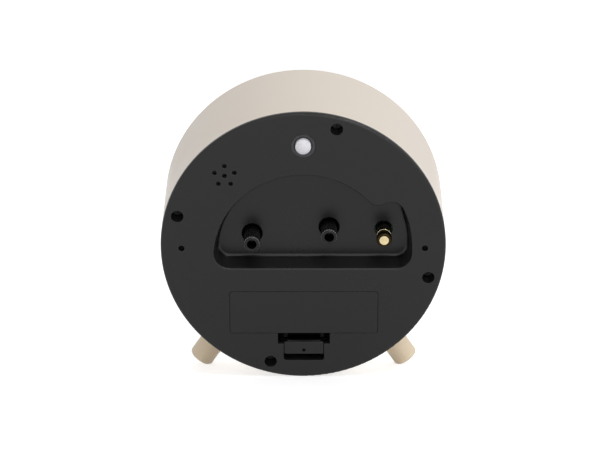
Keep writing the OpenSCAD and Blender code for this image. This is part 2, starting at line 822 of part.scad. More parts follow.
// Pipe that carries the minute hand, with the cannon pinion and the centre wheel
module minute_arbor() {
    pipe_low = hand_z(2);
    color("#c9a550")
        standing()
            difference() {
                union() {
                    translate([0, 0, pipe_low])
                        cylinder(h = level(3) + wheel_t - pipe_low, r = minute_pipe_r);
                    translate([0, 0, level(2) - wheel_gap / 2])
                        wheel(cannon_teeth, motion_mod, 0, wheel_t + wheel_gap);
                    translate([0, 0, level(3)]) cylinder(h = wheel_t * 0.6, r = minute_wheel_r);
                }
                translate([0, 0, pipe_low - over])
                    cylinder(h = level(4) - pipe_low + 2 * over, r = second_pipe_r + run_gap);
            }
}

// Wheel and pinion between the cannon pinion and the hour wheel
module motion_wheel() {
    color("#e6e2d6")
        standing()
            translate([motion_at.x, motion_at.y, 0]) {
                translate([0, 0, level(1)])
                    wheel(motion_pinion_teeth, hour_mod, motion_phase, wheel_t + wheel_gap);
                translate([0, 0, level(2)]) wheel(motion_teeth, motion_mod, motion_phase, wheel_t);
                translate([0, 0, pivot_z])
                    cylinder(h = level(3) + wheel_gap + post_in - pivot_z, r = pivot_r);
            }
}

module hour_wheel() {
    color("#e6e2d6")
        standing()
            difference() {
                union() {
                    translate([0, 0, level(1)]) wheel(hour_teeth, hour_mod, hour_phase, wheel_t);
                    translate([0, 0, hand_z(1)])
                        cylinder(h = level(1) - hand_z(1) + wheel_t / 2, r = hour_pipe_r);
                }
                translate([0, 0, hand_z(1) - over])
                    cylinder(h = level(2) - hand_z(1) + over, r = minute_pipe_r + run_gap);
            }
}

module alarm_wheel() {
    color("#d8b45c")
        standing()
            difference() {
                union() {
                    translate([0, 0, level(0)]) wheel(alarm_teeth, alarm_mod, 0, wheel_t);
                    translate([0, 0, hand_z(0)])
                        cylinder(h = level(0) - hand_z(0) + wheel_t / 2, r = alarm_pipe_r);
                }
                translate([0, 0, hand_z(0) - over])
                    cylinder(h = level(1) - hand_z(0) + over, r = hour_pipe_r + run_gap);
            }
}

// Thin shaft of the second hand, with its wheel
module second_arbor() {
    color("#b4b6b8")
        standing() {
            translate([0, 0, hand_z(3)])
                cylinder(h = level(4) + wheel_t + wheel_gap + post_in - hand_z(3), r = second_pipe_r);
            translate([0, 0, level(4)]) cylinder(h = wheel_t * 0.6, r = second_wheel_r);
        }
}

// Stem from a pivot in the movement's front wall to inside its knob
module stem(p, proud) {
    stem_low = movement_z + movement_wall + wheel_gap / 2;
    at(p, pivot_z) cylinder(h = pivot_in + wheel_gap, r = pivot_r);
    at(p, stem_low) cylinder(h = knob_low(proud) + stem_in - stem_low, r = stem_r);
}

stem_in = 6;
function knob_low(proud) = proud - knob_len;

module time_stem() {
    color("#c8cacc")
        standing() {
            stem(time_at, time_proud);
            at(time_at, level(2)) wheel(setting_teeth, motion_mod, setting_phase, wheel_t);
        }
}

module alarm_stem() {
    color("#c8cacc")
        standing() {
            stem(alarm_at, alarm_proud);
            at(alarm_at, level(0)) wheel(alarm_pinion_teeth, alarm_mod, alarm_phase, wheel_t);
        }
}

// Ribbed knob with a blind hole in its end, pushed over its stem
module knob(p, proud) {
    knob_end_h = 0.8;
    profile = [for (i = [0:4 * knob_ribs - 1])
        polar(i % 4 < 2 ? knob_r : knob_r - rib_depth, 90 * i / knob_ribs)];
    at(p, knob_low(proud))
        difference() {
            union() {
                linear_extrude(height = knob_len - knob_end_h) polygon(profile);
                translate([0, 0, knob_len - knob_end_h])
                    cylinder(h = knob_end_h, r1 = knob_r - rib_depth, r2 = knob_r - 2 * rib_depth);
            }
            translate([0, 0, -over]) cylinder(h = stem_in + over, r = stem_r);
            translate([0, 0, knob_len - knob_end_bore_h])
                cylinder(h = knob_end_bore_h + over, r = knob_end_bore_d / 2);
        }
}

module time_knob() {
    color("#2e2e30") standing() knob(time_at, time_proud);
}

module alarm_knob() {
    color("#2e2e30") standing() knob(alarm_at, alarm_proud);
}

// Turned pin with a rounded head, a groove, a body and a thin tip
module alarm_pin() {
    head_z = pin_proud - pin_head_h;
    body_z = head_z - pin_groove_h;
    body_low = board_z + 0.1;
    color("#d9b45a")
        standing()
            at([pin_x, pin_y], 0) {
                rotate_extrude() {
                    translate([0, head_z]) square([pin_head_d / 2, pin_head_h - pin_head_r]);
                    translate([0, pin_proud - pin_head_r])
                        square([pin_head_d / 2 - pin_head_r, pin_head_r]);
                    intersection() {
                        translate([pin_head_d / 2 - pin_head_r, pin_proud - pin_head_r])
                            circle(r = pin_head_r);
                        translate([pin_head_d / 2 - pin_head_r, pin_proud - pin_head_r]) square(pin_head_r);
                    }
                }
                translate([0, 0, body_z]) cylinder(h = pin_groove_h, r = pin_groove_d / 2);
                translate([0, 0, body_low]) cylinder(h = body_z - body_low, r = pin_body_d / 2);
                translate([0, 0, body_low - pin_tip_len]) cylinder(h = pin_tip_len, r = pin_tip_d / 2);
            }
}

pin_tip_len = 5;

// Switch body behind the board, with a stepped hole for the pin
alarm_switch_w = 9.6;

module alarm_switch() {
    h = 7;
    color("#4a4c50")
        standing()
            at([pin_x, pin_y], board_z - h)
                difference() {
                    block(alarm_switch_w, alarm_switch_w, h);
                    translate([0, 0, -over]) cylinder(h = h + 2 * over, r = pin_tip_d / 2 + run_gap);
                    translate([0, 0, h - pin_travel - 0.4])
                        cylinder(h = pin_travel + 0.4 + over, r = pin_body_d / 2 + pin_body_gap);
                }
}

// Curved circuit board that follows the top and right of the drum
module circuit_board() {
    color("#2f6b45")
        standing()
            difference() {
                rotate([0, 0, -6])
                    translate([0, 0, board_z])
                        rotate_extrude(angle = 120)
                            translate([board_in_r, 0]) square([board_out_r - board_in_r, board_t]);
                at([pin_x, pin_y], board_z - over)
                    cylinder(h = board_t + 2 * over, r = pin_body_d / 2 + pin_body_gap);
                at([peg_x, peg_y], board_z - over) cylinder(h = board_t + 2 * over, r = peg_r + 1.4);
                for (a = board_post_angles)
                    at(polar(board_post_at, a), board_z - over)
                        cylinder(h = board_t + 2 * over, r = board_screw_r);
            }
}

module board_screws() {
    color("#a9abad")
        standing()
            for (a = board_post_angles)
                at(polar(board_post_at, a), board_z) {
                    cylinder(h = board_t + board_screw_in, r = board_screw_r);
                    translate([0, 0, -1])
                        cylinder(h = 1, r1 = 1.5 * board_screw_r, r2 = 1.9 * board_screw_r);
                }
}

chip_w = 9;
chip_h = 5;
chip_t = 1.4;

module timer_chip() {
    color("#26282b")
        standing()
            at(polar((board_in_r + board_out_r) / 2, 76), board_z - chip_t) block(chip_w, chip_h, chip_t);
}

// Push switch under the light button: body on the board, and the plunger that the button pushes
switch_h = 3.4;
switch_w = 6;
plunger_r = 1.7;
switch_top_z = -board_depth + switch_h;
plunger_in = 0.6;
plunger_up = 0.8;

module tact_switch() {
    color("#35373a")
        standing()
            at([0, button_y], -board_depth)
                difference() {
                    block(switch_w, switch_w, switch_h);
                    translate([0, 0, switch_h - button_travel - plunger_in - fit_gap])
                        cylinder(h = button_travel + plunger_in + fit_gap + over, r = plunger_r + run_gap);
                }
}

module switch_plunger() {
    color("#d8d4c8")
        standing()
            at([0, button_y], switch_top_z - plunger_in)
                cylinder(h = plunger_in + plunger_up, r = plunger_r);
}

// Domed button with a collar that stops it behind its guide
module light_button() {
    cap_r = button_d / 2;
    dome_r = (cap_r * cap_r + dome_h * dome_h) / (2 * dome_h);
    sweep = asin(cap_r / dome_r);
    steps = 8;
    stem_low = switch_top_z + plunger_up;
    collar_low = guide_low_z - 0.8;
    color("#f1eef4")
        standing()
            at([0, button_y], 0)
                rotate_extrude()
                    polygon(concat(
                        [[0, stem_low], [stem_r, stem_low], [stem_r, collar_low]],
                        [[cap_r + 0.9, collar_low], [cap_r + 0.9, guide_low_z], [cap_r, guide_low_z]],
                        [for (i = [steps:-1:1]) let (a = sweep * i / steps)
                            [dome_r * sin(a), button_proud - dome_r * (1 - cos(a))]],
                        [[0, button_proud]]
                    ));
}

guide_low_z = -5.6;
guide_r = button_d / 2 + 2;

// Round sounder in its ring behind the grille
module sounder() {
    color("#1f2022")
        standing()
            at(sounder_at, -cover_t - sounder_h)
                difference() {
                    cylinder(h = sounder_h, r = sounder_d / 2);
                    translate([0, 0, sounder_h - 1])
                        cylinder(h = 1 + over, r = grille_r + grille_hole_d / 2 + 0.4);
                    translate([0, 0, sounder_h - 2]) cylinder(h = 2 + over, r = 1.2);
                }
}

// Moulded back cover with the control recess, battery bay, latch pit, wells, guide and posts
module back_cover() {
    color("#48484b")
        standing()
            difference() {
                cover_body();
                cover_cuts();
            }
}

module cover_body() {
    rotate_extrude() {
        translate([0, -cover_t]) square([case_r - cover_edge_r, cover_t]);
        translate([0, -cover_t]) square([case_r, cover_t - cover_edge_r]);
        intersection() {
            translate([case_r - cover_edge_r, -cover_edge_r]) circle(r = cover_edge_r);
            translate([case_r - cover_edge_r, -cover_edge_r]) square(cover_edge_r);
        }
    }
    translate([0, 0, -cover_t - skirt_h])
        tube(inner_r - fit_gap, inner_r - fit_gap - skirt_t, skirt_h + cover_t / 2);
    intersection() {
        for (a = well_angles)
            at(polar(well_r, a), boss_z) cylinder(h = -boss_z - cover_t / 2, r = boss_r);
        translate([0, 0, boss_z]) cylinder(h = -boss_z, r = inner_r - fit_gap);
    }
    recess_solid([
        [-recess_depth - tray_wall, tray_wall - draft - 1],
        [-recess_depth - tray_wall + 1, tray_wall - draft],
        [-cover_t / 2, tray_wall]
    ]);
    at([door_x, door_y], -bay_depth - bay_wall)
        block(bay_w + 2 * bay_wall, bay_h + 2 * bay_wall, bay_depth + bay_wall - cover_t / 2);
    pit_solid(bay_wall, -pit_depth - bay_wall, -cover_t / 2);
    at([0, button_y], guide_low_z) cylinder(h = -guide_low_z - cover_t / 2, r = guide_r);
    at(sounder_at, -cover_t - 3)
        tube(sounder_d / 2 + 1, sounder_d / 2, 3 + cover_t / 2);
    for (a = board_post_angles)
        at(polar(board_post_at, a), -board_depth) cylinder(h = board_depth - cover_t / 2, r = 2);
}

// Slot and finger pit of the latch as one stepped pocket
module pit_solid(grow, low, high) {
    slot_low_y = door_low_y - slot_h;
    at([door_x, (door_low_y + door_ledge + slot_low_y) / 2], low)
        block(slot_w + 2 * grow, door_low_y + door_ledge - slot_low_y + 2 * grow, high - low);
    at([door_x, (slot_low_y + pit_r + pit_low_y) / 2], low)
        rounded_plate(tab_w + 0.5 + 2 * grow, slot_low_y + pit_r - pit_low_y + 2 * grow, high - low, pit_r);
}

module cover_cuts() {
    recess_solid(concat(floor_levels(), rim_levels(), [[over, rim_r]]));
    at(time_at, -recess_depth - tray_wall - over) cylinder(h = tray_wall + 2 * over, r = knob_r + knob_gap);
    at(alarm_at, -recess_depth - tray_wall - over)
        cylinder(h = tray_wall + 2 * over, r = knob_r + knob_gap);
    at([pin_x, pin_y], -recess_depth - tray_wall - over)
        cylinder(h = tray_wall + 2 * over, r = pin_head_d / 2 + pin_gap);
    for (a = well_angles)
        at(polar(well_r, a), 0) {
            translate([0, 0, well_seat_z]) cylinder(h = well_depth + over, r = well_d / 2);
            translate([0, 0, boss_z - over]) cylinder(h = well_floor_t + 2 * over, r = screw_r + 0.2);
        }
    for (side = [-1, 1])
        at([side * peg_x, peg_y], -cover_t - over) cylinder(h = cover_t + 2 * over, r = peg_hole_d / 2);
    at([0, button_y], -dish_h) cylinder(h = dish_h + 0.01, r1 = button_d / 2 + 1.2, r2 = dish_d / 2);
    at([0, button_y], guide_low_z - over)
        cylinder(h = over - guide_low_z + over, r = button_d / 2 + button_gap);
    at(sounder_at, -cover_t - over) {
        cylinder(h = cover_t + 2 * over, r = grille_hole_d / 2);
        for (i = [0:4])
            rotate([0, 0, 90 + 72 * i]) translate([grille_r, 0, 0])
                cylinder(h = cover_t + 2 * over, r = grille_hole_d / 2);
    }
    at([door_x, door_y], -door_t) rounded_plate(door_w, door_h, door_t + over, 1);
    at([door_x, door_y], -bay_depth) block(bay_w, bay_h, bay_depth);
    pit_solid(0, -pit_depth, over);
    for (x = hinge_tab_x)
        at([door_x + x, door_top_y - door_ledge], -door_t - hinge_room)
            block(hinge_tab_w + 1, 2 * (hinge_tab_out + door_ledge + door_gap), hinge_room);
    for (a = board_post_angles)
        at(polar(board_post_at, a), -board_depth - over)
            cylinder(h = board_screw_in + 2 * over, r = board_screw_r);
}

// Hinge tabs of the door: places, width, thickness, reach under the cover and room to swing
hinge_tab_x = [-18, 18];
hinge_tab_w = 6;
hinge_tab_t = 1.2;
hinge_tab_out = 1.4;
hinge_room = 3.4;

module cover_screws() {
    color("#2a2a2c")
        standing()
            for (a = well_angles)
                at(polar(well_r, a), well_seat_z) {
                    difference() {
                        cylinder(h = 1.6, r = head_r);
                        translate([0, 0, 0.8]) block(1.3 * head_r, 0.5, over);
                        translate([0, 0, 0.8]) block(0.5, 1.3 * head_r, over);
                    }
                    translate([0, 0, -cover_screw_in]) cylinder(h = cover_screw_in, r = screw_r);
                }
}

// Flush battery door with two hinge tabs and the fixed leaf of the latch spring
module battery_door() {
    color("#48484b")
        standing() {
            at([door_x, door_y], -door_t)
                rounded_plate(door_w - 2 * door_gap, door_h - 2 * door_gap, door_t, 0.8);
            for (x = hinge_tab_x) {
                at([door_x + x, door_top_y - 1.2 * hinge_tab_t], -door_t - fit_gap - hinge_tab_t)
                    block(hinge_tab_w, 2 * hinge_tab_t, hinge_tab_t + fit_gap + door_t / 2);
                at([door_x + x, door_top_y], -door_t - fit_gap - hinge_tab_t)
                    block(hinge_tab_w, 2 * hinge_tab_out, hinge_tab_t);
            }
            at([door_x, leaf_in_y + leaf_t / 2], -leaf_depth)
                block(leaf_w, leaf_t, leaf_depth - door_t / 2);
            at([door_x, (leaf_in_y + leaf_out_y) / 2], -leaf_depth)
                rotate([0, 90, 0])
                    translate([0, 0, -leaf_w / 2])
                        difference() {
                            cylinder(h = leaf_w, r = bend_r + leaf_t);
                            translate([0, 0, -over]) cylinder(h = leaf_w + 2 * over, r = bend_r);
                            translate([-2 * bend_r - leaf_t, -2 * bend_r - leaf_t, -over])
                                cube([2 * bend_r + leaf_t, 4 * bend_r + 2 * leaf_t, leaf_w + 2 * over]);
                        }
        }
}

tab_z = -0.5;
tab_t = 1.6;

// Thumb tab and moving leaf of the latch, with an ear at each side
module door_latch() {
    ear_y = door_low_y - slot_h + 0.4;
    ear_h = 1;
    ear_t = 1.3;
    ear_gap = 0.9;
    ear_z = tab_z - tab_t - ear_t;
    neck_h = ear_y + ear_h - leaf_out_y + leaf_t;
    color("#48484b")
        standing()
            difference() {
                union() {
                    at([door_x, (tab_top_y + tab_low_y) / 2], tab_z - tab_t)
                        rounded_plate(tab_w, tab_h, tab_t, 0.6);
                    at([door_x, leaf_out_y - leaf_t / 2], -leaf_depth)
                        block(leaf_w, leaf_t, leaf_depth + tab_z - tab_t / 2);
                    at([door_x, ear_y + ear_h / 2], ear_z) block(slot_w - 2 * ear_gap, ear_h, ear_t);
                    at([door_x, ear_y + ear_h - neck_h / 2], ear_z)
                        block(leaf_w, neck_h, ear_t + tab_t / 2);
                }
                at([door_x, tab_low_y + 1.6], tab_z - 0.3) cylinder(h = 1, r = 0.5);
            }
}

// Cell with its raised end to the left
cell_nub_r = 2.75;
cell_edge = 0.4;

module battery_cell() {
    color("#a8a9ad")
        standing()
            translate([cell_left, door_y, cell_z])
                rotate([0, 90, 0]) {
                    cylinder(h = cell_nub_h, r = cell_nub_r);
                    translate([0, 0, cell_nub_h])
                        cylinder(h = cell_edge, r1 = cell_r - cell_edge, r2 = cell_r);
                    translate([0, 0, cell_nub_h + cell_edge])
                        cylinder(h = cell_len - 2 * cell_edge, r = cell_r);
                    translate([0, 0, cell_nub_h + cell_len - cell_edge])
                        cylinder(h = cell_edge, r1 = cell_r, r2 = cell_r - cell_edge);
                }
}

// Coiled contact between the cell's flat end and the bay's wall
module battery_spring() {
    sides = 6;
    per_turn = 14;
    rings = spring_turns * per_turn;
    wire_r = spring_wire_d / 2;
    climb = spring_len - spring_wire_d;
    big_r = 4.6;
    small_r = 2.6;
    points = [for (i = [0:rings]) for (k = [0:sides - 1])
        let (
            f = i / rings,
            a = 360 * spring_turns * f,
            r = small_r + (big_r - small_r) * f + wire_r * cos(360 * k / sides)
        )
        [r * cos(a), r * sin(a), wire_r + climb * f + wire_r * sin(360 * k / sides)]];
    skin = [for (i = [0:rings - 1]) for (k = [0:sides - 1]) let (n = (k + 1) % sides)
        each [
            [i * sides + k, (i + 1) * sides + k, (i + 1) * sides + n],
            [i * sides + k, (i + 1) * sides + n, i * sides + n]
        ]];
    ends = [[for (k = [0:sides - 1]) k], [for (k = [sides - 1:-1:0]) rings * sides + k]];
    color("#c4c6c8")
        standing()
            translate([cell_right, door_y, cell_z])
                rotate([0, 90, 0])
                    polyhedron(points = points, faces = concat(skin, ends), convexity = 8);
}

contact_w = 9;
contact_h = 10;

module battery_plate() {
    color("#c4c6c8")
        standing()
            translate([cell_left - contact_t - contact_dimple_h, door_y, cell_z])
                rotate([0, 90, 0]) {
                    block(contact_w, contact_h, contact_t);
                    cylinder(h = contact_t + contact_dimple_h, r = 0.7 * cell_nub_r);
                }
}

// Round peg foot, hollowed to sit on the drum and cut flat where it stands on the table
module foot(side) {
    color("#d9c4a8")
        difference() {
            standing()
                difference() {
                    foot_axis(side) {
                        cylinder(h = foot_reach - foot_edge_r, r = foot_r);
                        cylinder(h = foot_reach, r = foot_r - foot_edge_r);
                        translate([0, 0, foot_reach - foot_edge_r])
                            rotate_extrude()
                                intersection() {
                                    translate([foot_r - foot_edge_r, 0]) circle(r = foot_edge_r);
                                    translate([0, -foot_edge_r]) square([foot_r, 2 * foot_edge_r]);
                                }
                    }
                    translate([0, 0, -case_depth]) cylinder(h = case_depth, r = case_r);
                    foot_axis(side) cylinder(h = case_r + foot_screw_in, r = foot_screw_d / 2);
                }
            translate([-case_d, -case_d, -case_d]) cube([2 * case_d, 2 * case_d, case_d]);
        }
}

foot_screw_in = 9;

module foot_left() {
    foot(-1);
}

module foot_right() {
    foot(1);
}

// Screws from inside the drum into the feet
module foot_screws() {
    color("#a9abad")
        standing()
            for (side = [-1, 1])
                foot_axis(side) {
                    translate([0, 0, foot_seat_r])
                        cylinder(h = case_r + foot_screw_in - 0.5 - foot_seat_r, r = foot_screw_d / 2);
                    translate([0, 0, foot_seat_r - foot_head_h])
                        cylinder(h = foot_head_h, r1 = 2, r2 = 2.5);
                }
}

case_body();
lens_ring();
lens();
dial_ring();
dial();
hour_bars();
hour_hand();
minute_hand();
second_hand();
alarm_hand();
second_cap();
movement_base();
movement_cover();
centre_nut();
movement_screws();
minute_arbor();
motion_wheel();
hour_wheel();
alarm_wheel();
second_arbor();
time_stem();
time_knob();
alarm_stem();
alarm_knob();
alarm_pin();
alarm_switch();
circuit_board();
board_screws();
timer_chip();
tact_switch();
switch_plunger();
light_button();
dial_lamps();
sounder();
back_cover();
cover_screws();
battery_door();
door_latch();
battery_cell();
battery_spring();
battery_plate();
foot_left();
foot_right();
foot_screws();
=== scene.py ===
"""Finishes and studio for a round table alarm clock, seen from behind."""

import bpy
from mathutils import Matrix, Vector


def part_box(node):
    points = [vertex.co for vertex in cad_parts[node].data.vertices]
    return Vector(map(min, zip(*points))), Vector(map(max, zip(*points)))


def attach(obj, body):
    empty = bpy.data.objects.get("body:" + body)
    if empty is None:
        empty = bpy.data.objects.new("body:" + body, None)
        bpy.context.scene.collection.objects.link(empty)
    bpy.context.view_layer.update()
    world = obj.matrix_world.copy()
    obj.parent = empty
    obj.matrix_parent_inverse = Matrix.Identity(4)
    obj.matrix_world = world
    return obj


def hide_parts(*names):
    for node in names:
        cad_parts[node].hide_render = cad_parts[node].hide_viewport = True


bl_info = {
    "name": "Table Alarm Clock Finishes",
    "version": (1, 0, 0),
    "blender": (4, 5, 0),
    "location": "3D View > Sidebar > Alarm Clock",
    "description": "Builds the fine pieces, finishes and studio of a table alarm clock",
    "category": "Object",
}

import math

import bmesh
import bpy
from bpy.props import FloatProperty, FloatVectorProperty, IntProperty, PointerProperty
from mathutils import Matrix, Vector

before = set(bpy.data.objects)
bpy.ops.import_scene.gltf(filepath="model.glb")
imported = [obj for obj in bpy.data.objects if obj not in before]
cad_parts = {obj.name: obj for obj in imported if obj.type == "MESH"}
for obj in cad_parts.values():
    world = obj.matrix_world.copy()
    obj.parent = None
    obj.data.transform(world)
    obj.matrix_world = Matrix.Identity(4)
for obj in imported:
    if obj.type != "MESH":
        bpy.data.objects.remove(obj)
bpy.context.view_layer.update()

MM = 0.001
LEAN = math.radians(15.4)
FACE_MIDDLE = Vector((0, 24.12535, 52.7956)) * MM
# Back view to table: x to the right and y up as seen from behind, z out of the cover's face
STANDING = Matrix.Translation(FACE_MIDDLE) @ Matrix(
    (
        (-1, 0, 0, 0),
        (0, math.sin(LEAN), math.cos(LEAN), 0),
        (0, math.cos(LEAN), -math.sin(LEAN), 0),
        (0, 0, 0, 1),
    )
)
# Front view to table: x to the right and y up as the dial is read, z towards the reader
DIAL_VIEW = STANDING @ Matrix.Diagonal((-1, 1, -1, 1))

# Places in the back view, in millimetres
PEGS = ((-46.9, -0.5), (46.9, -0.5))
TAB_DIMPLE = (0.2, -43.7)

# Thickness of the dial's ink, and how far its middle lies above the plate, in millimetres
INK_THICKNESS = 0.04
INK_MIDDLE = 0.01
# Size of the font for figures one unit high
FONT_FOR_FIGURES = 1.4
# The time that the hands show
HOUR, MINUTE = 10, 8

# Strength of the room's light, grey of the floor, and light that the floor adds where it is seen
AIR = 0.48
FLOOR_GREY = 0.8
FLOOR_GLOW = 0.6
FLOOR_RADIUS = 4
LAMP_TARGET = Vector((0, 0, 0.06))
# Name, place, width in metres, power in watts, and whether reflections show it
LAMPS = (
    ("key", (-0.45, 0.9, 1.2), 0.4, 4.2, True),
    ("side", (-1.3, 0.4, 0.7), 1.0, 2.6, True),
    ("fill", (-0.2, 1.35, 0.35), 1.0, 3.4, True),
    ("front", (-0.2, -1.2, 0.7), 1.0, 4.6, False),
)
CAMERA_PLACE = (-0.002572, 1.231023, 0.206474)
CAMERA_TURN = (82.9464, 0.0477, -179.8250)
CAMERA_LENS = 189.581


def srgb(code):
    """Linear colour of a hexadecimal screen colour."""
    parts = [int(code[i : i + 2], 16) / 255 for i in (0, 2, 4)]
    return tuple(c / 12.92 if c <= 0.04045 else ((c + 0.055) / 1.055) ** 2.4 for c in parts)


def colour_property(label, about, code):
    return FloatVectorProperty(
        name=label, description=about, subtype="COLOR", size=3, min=0, max=1, default=srgb(code)
    )


def length_property(label, about, millimetres):
    return FloatProperty(
        name=label, description=about, subtype="DISTANCE", unit="LENGTH", min=0, default=millimetres * MM
    )


class ClockColours(bpy.types.PropertyGroup):
    """Colours of the clock's plastics, metals and print."""

    case: colour_property("Case", "Cream plastic of the drum and the lens ring", "e3d7c9")
    cover: colour_property("Cover", "Dark plastic of the back cover and the battery door", "101011")
    foot: colour_property("Feet", "Beige plastic of the two peg feet", "efdec3")
    knob: colour_property("Knobs", "Black plastic of the ribbed knobs", "0c0c0d")
    # The pin's pale brass is partly its own colour and partly painted bright reflection; its sides' colour is
    # a painted dark reflection
    brass: colour_property("Alarm pin", "Polished pale brass of the alarm pin's end", "dccb9f")
    bronze: colour_property("Alarm pin sides", "Darkened brass of the alarm pin's sides", "2e2415")
    button: colour_property("Light button", "White plastic of the light button", "eceaf0")
    dial: colour_property("Dial", "Dial plate", "f2ecdf")
    ink: colour_property("Print", "Numerals, tracks and hour bars", "1b1b1d")
    hand: colour_property("Hands", "Lacquer of the hour and minute hands", "202022")
    inlay: colour_property("Inlay", "Pale paint laid into the hands", "dfe3cf")


class ClockSizes(bpy.types.PropertyGroup):
    """Sizes of the fine pieces."""

    edge_round: length_property("Edge rounding", "Rounding seen on the moulded edges", 0.3)
    fine_edge_round: length_property("Fine edge rounding", "Rounding seen on metal and small pieces", 0.12)
    knob_length: length_property("Knob length", "Length of a ribbed knob", 15)
    knob_radius: length_property("Knob radius", "Radius of a knob over its ribs", 3.2)
    rib_depth: length_property("Rib depth", "Depth of the grooves between the ribs", 0.3)
    knob_ribs: IntProperty(name="Ribs", description="Number of ribs round a knob", min=8, default=20)
    knob_bore: length_property("Knob bore", "Radius of the blind hole in a knob's end", 1.85)
    bore_depth: length_property("Bore depth", "Depth of the blind hole in a knob's end", 8)
    socket_radius: length_property("Socket radius", "Radius of the hole that takes a knob's stem", 1.5)
    socket_depth: length_property("Socket depth", "Depth of the hole that takes a knob's stem", 6)
    numeral_height: length_property("Numeral height", "Height of the dial's numerals", 7.4)
    numeral_radius: length_property("Numeral radius", "Distance of the numerals from the dial's middle", 34)
    minute_radius: length_property("Minute track radius", "Middle of the minute track", 47.9)
    alarm_radius: length_property("Alarm track radius", "Middle of the alarm track", 22.6)


def sizes():
    return bpy.context.scene.clock_sizes


def colours():
    return bpy.context.scene.clock_colours


# Node trees


def add_node(tree, kind, inputs=None, **settings):
    """Adds a node with its settings, and fills its inputs with values or links."""
    node = tree.nodes.new(kind)
    row, column = divmod(len(tree.nodes), 8)
    node.location = (220 * column, -260 * row)
    for name, value in settings.items():
        setattr(node, name, value)
    for key, value in (inputs or {}).items():
        if isinstance(value, bpy.types.NodeSocket):
            tree.links.new(value, node.inputs[key])
        else:
            node.inputs[key].default_value = value
    return node


def calculate(tree, operation, a, b=0.0, c=0.0, clamp=False):
    """Result of a calculation on numbers or sockets."""
    node = add_node(tree, "ShaderNodeMath", {0: a, 1: b, 2: c}, operation=operation, use_clamp=clamp)
    return node.outputs[0]


def vector_calculation(tree, operation, inputs):
    """Outputs of a calculation on vectors."""
    return add_node(tree, "ShaderNodeVectorMath", inputs, operation=operation).outputs


def scaled_colour(tree, colour, tone):
    """A colour made lighter or darker by a tone round one."""
    return vector_calculation(tree, "SCALE", {0: colour, "Scale": tone})["Vector"]


def mixed_colour(tree, share, first, second):
    """Mix of two colours; the share is the second one's."""
    first, second = (c if isinstance(c, bpy.types.NodeSocket) else (*c[:3], 1) for c in (first, second))
    # Sockets 6 and 7 of a Mix node are its two colours, and output 2 is their mix
    inputs = {0: share, 6: first, 7: second}
    return add_node(tree, "ShaderNodeMix", inputs, data_type="RGBA", clamp_factor=True).outputs[2]


def noise(tree, vector, scale, detail, **more):
    """Values of a noise texture."""
    inputs = {"Vector": vector, "Scale": scale, "Detail": detail, **more}
    return add_node(tree, "ShaderNodeTexNoise", inputs).outputs["Fac"]


def raise_surface(tree, shader, height, distance, strength=1.0, normal=None):
    """Shapes a finish by a height; the distance is in millimetres."""
    inputs = {"Height": height, "Distance": distance * MM, "Strength": strength}
    if normal is not None:
        inputs["Normal"] = normal
    bump = add_node(tree, "ShaderNodeBump", inputs)
    tree.links.new(bump.outputs["Normal"], shader.inputs["Normal"])


def new_group(name, inputs, outputs):
    """Starts a node group; an input without a number is a vector, and every output is a number."""
    group = bpy.data.node_groups.new(name, "ShaderNodeTree")
    for label, default in inputs.items():
        kind = "NodeSocketVector" if default is None else "NodeSocketFloat"
        socket = group.interface.new_socket(label, in_out="INPUT", socket_type=kind)
        if default is not None:
            socket.default_value = default
    for label in outputs:
        group.interface.new_socket(label, in_out="OUTPUT", socket_type="NodeSocketFloat")
    return group, add_node(group, "NodeGroupInput").outputs, add_node(group, "NodeGroupOutput")


def give(group, out, **results):
    """Links a group's results to its outputs."""
    for name, socket in results.items():
        group.links.new(socket, out.inputs[name])
    return group


def moulded_texture():
    """Fine grain of a moulded face, with a slow drift of its tone and shine."""
    group, given, out = new_group(
        "Moulded Texture",
        {"Vector": None, "Grain": 4000.0, "Drift": 30.0, "Unevenness": 0.05},
        ("Height", "Tone", "Shine"),
    )
    grain = noise(group, given["Vector"], given["Grain"], 3.0, Roughness=0.6)
    pits = add_node(
        group,
        "ShaderNodeTexVoronoi",
        {"Vector": given["Vector"], "Scale": given["Grain"], "Randomness": 1.0},
        feature="SMOOTH_F1",
    )
    drift = noise(group, given["Vector"], given["Drift"], 4.0, Roughness=0.55)
    swing = calculate(group, "SUBTRACT", drift, 0.5)
    speck = calculate(group, "SUBTRACT", grain, 0.5)
    both = calculate(group, "MULTIPLY_ADD", speck, 0.6, swing)
    return give(
        group,
        out,
        Height=calculate(group, "MULTIPLY_ADD", pits.outputs["Distance"], 0.5, grain),
        Tone=calculate(group, "MULTIPLY_ADD", both, given["Unevenness"], 1.0),
        Shine=calculate(group, "MULTIPLY", swing, 2.0),
    )


def edge_handling():
    """Mask of the edges that hands and cloths polish, broken up by noise."""
    group, given, out = new_group(
        "Edge Handling", {"Vector": None, "Rounded Normal": None, "Reach": 12.0}, ("Mask",)
    )
    flat = add_node(group, "ShaderNodeNewGeometry").outputs["Normal"]
    facing = vector_calculation(group, "DOT_PRODUCT", {0: given["Rounded Normal"], 1: flat})["Value"]
    turn = calculate(group, "SUBTRACT", 1.0, facing)
    wide = calculate(group, "MULTIPLY", turn, given["Reach"], clamp=True)
    rub = noise(group, given["Vector"], 180.0, 3.0)
    spread = add_node(
        group,
        "ShaderNodeMapRange",
        {"Value": rub, "From Min": 0.3, "From Max": 0.65, "To Min": 0.35, "To Max": 1.0},
    )
    return give(group, out, Mask=calculate(group, "MULTIPLY", wide, spread.outputs["Result"]))


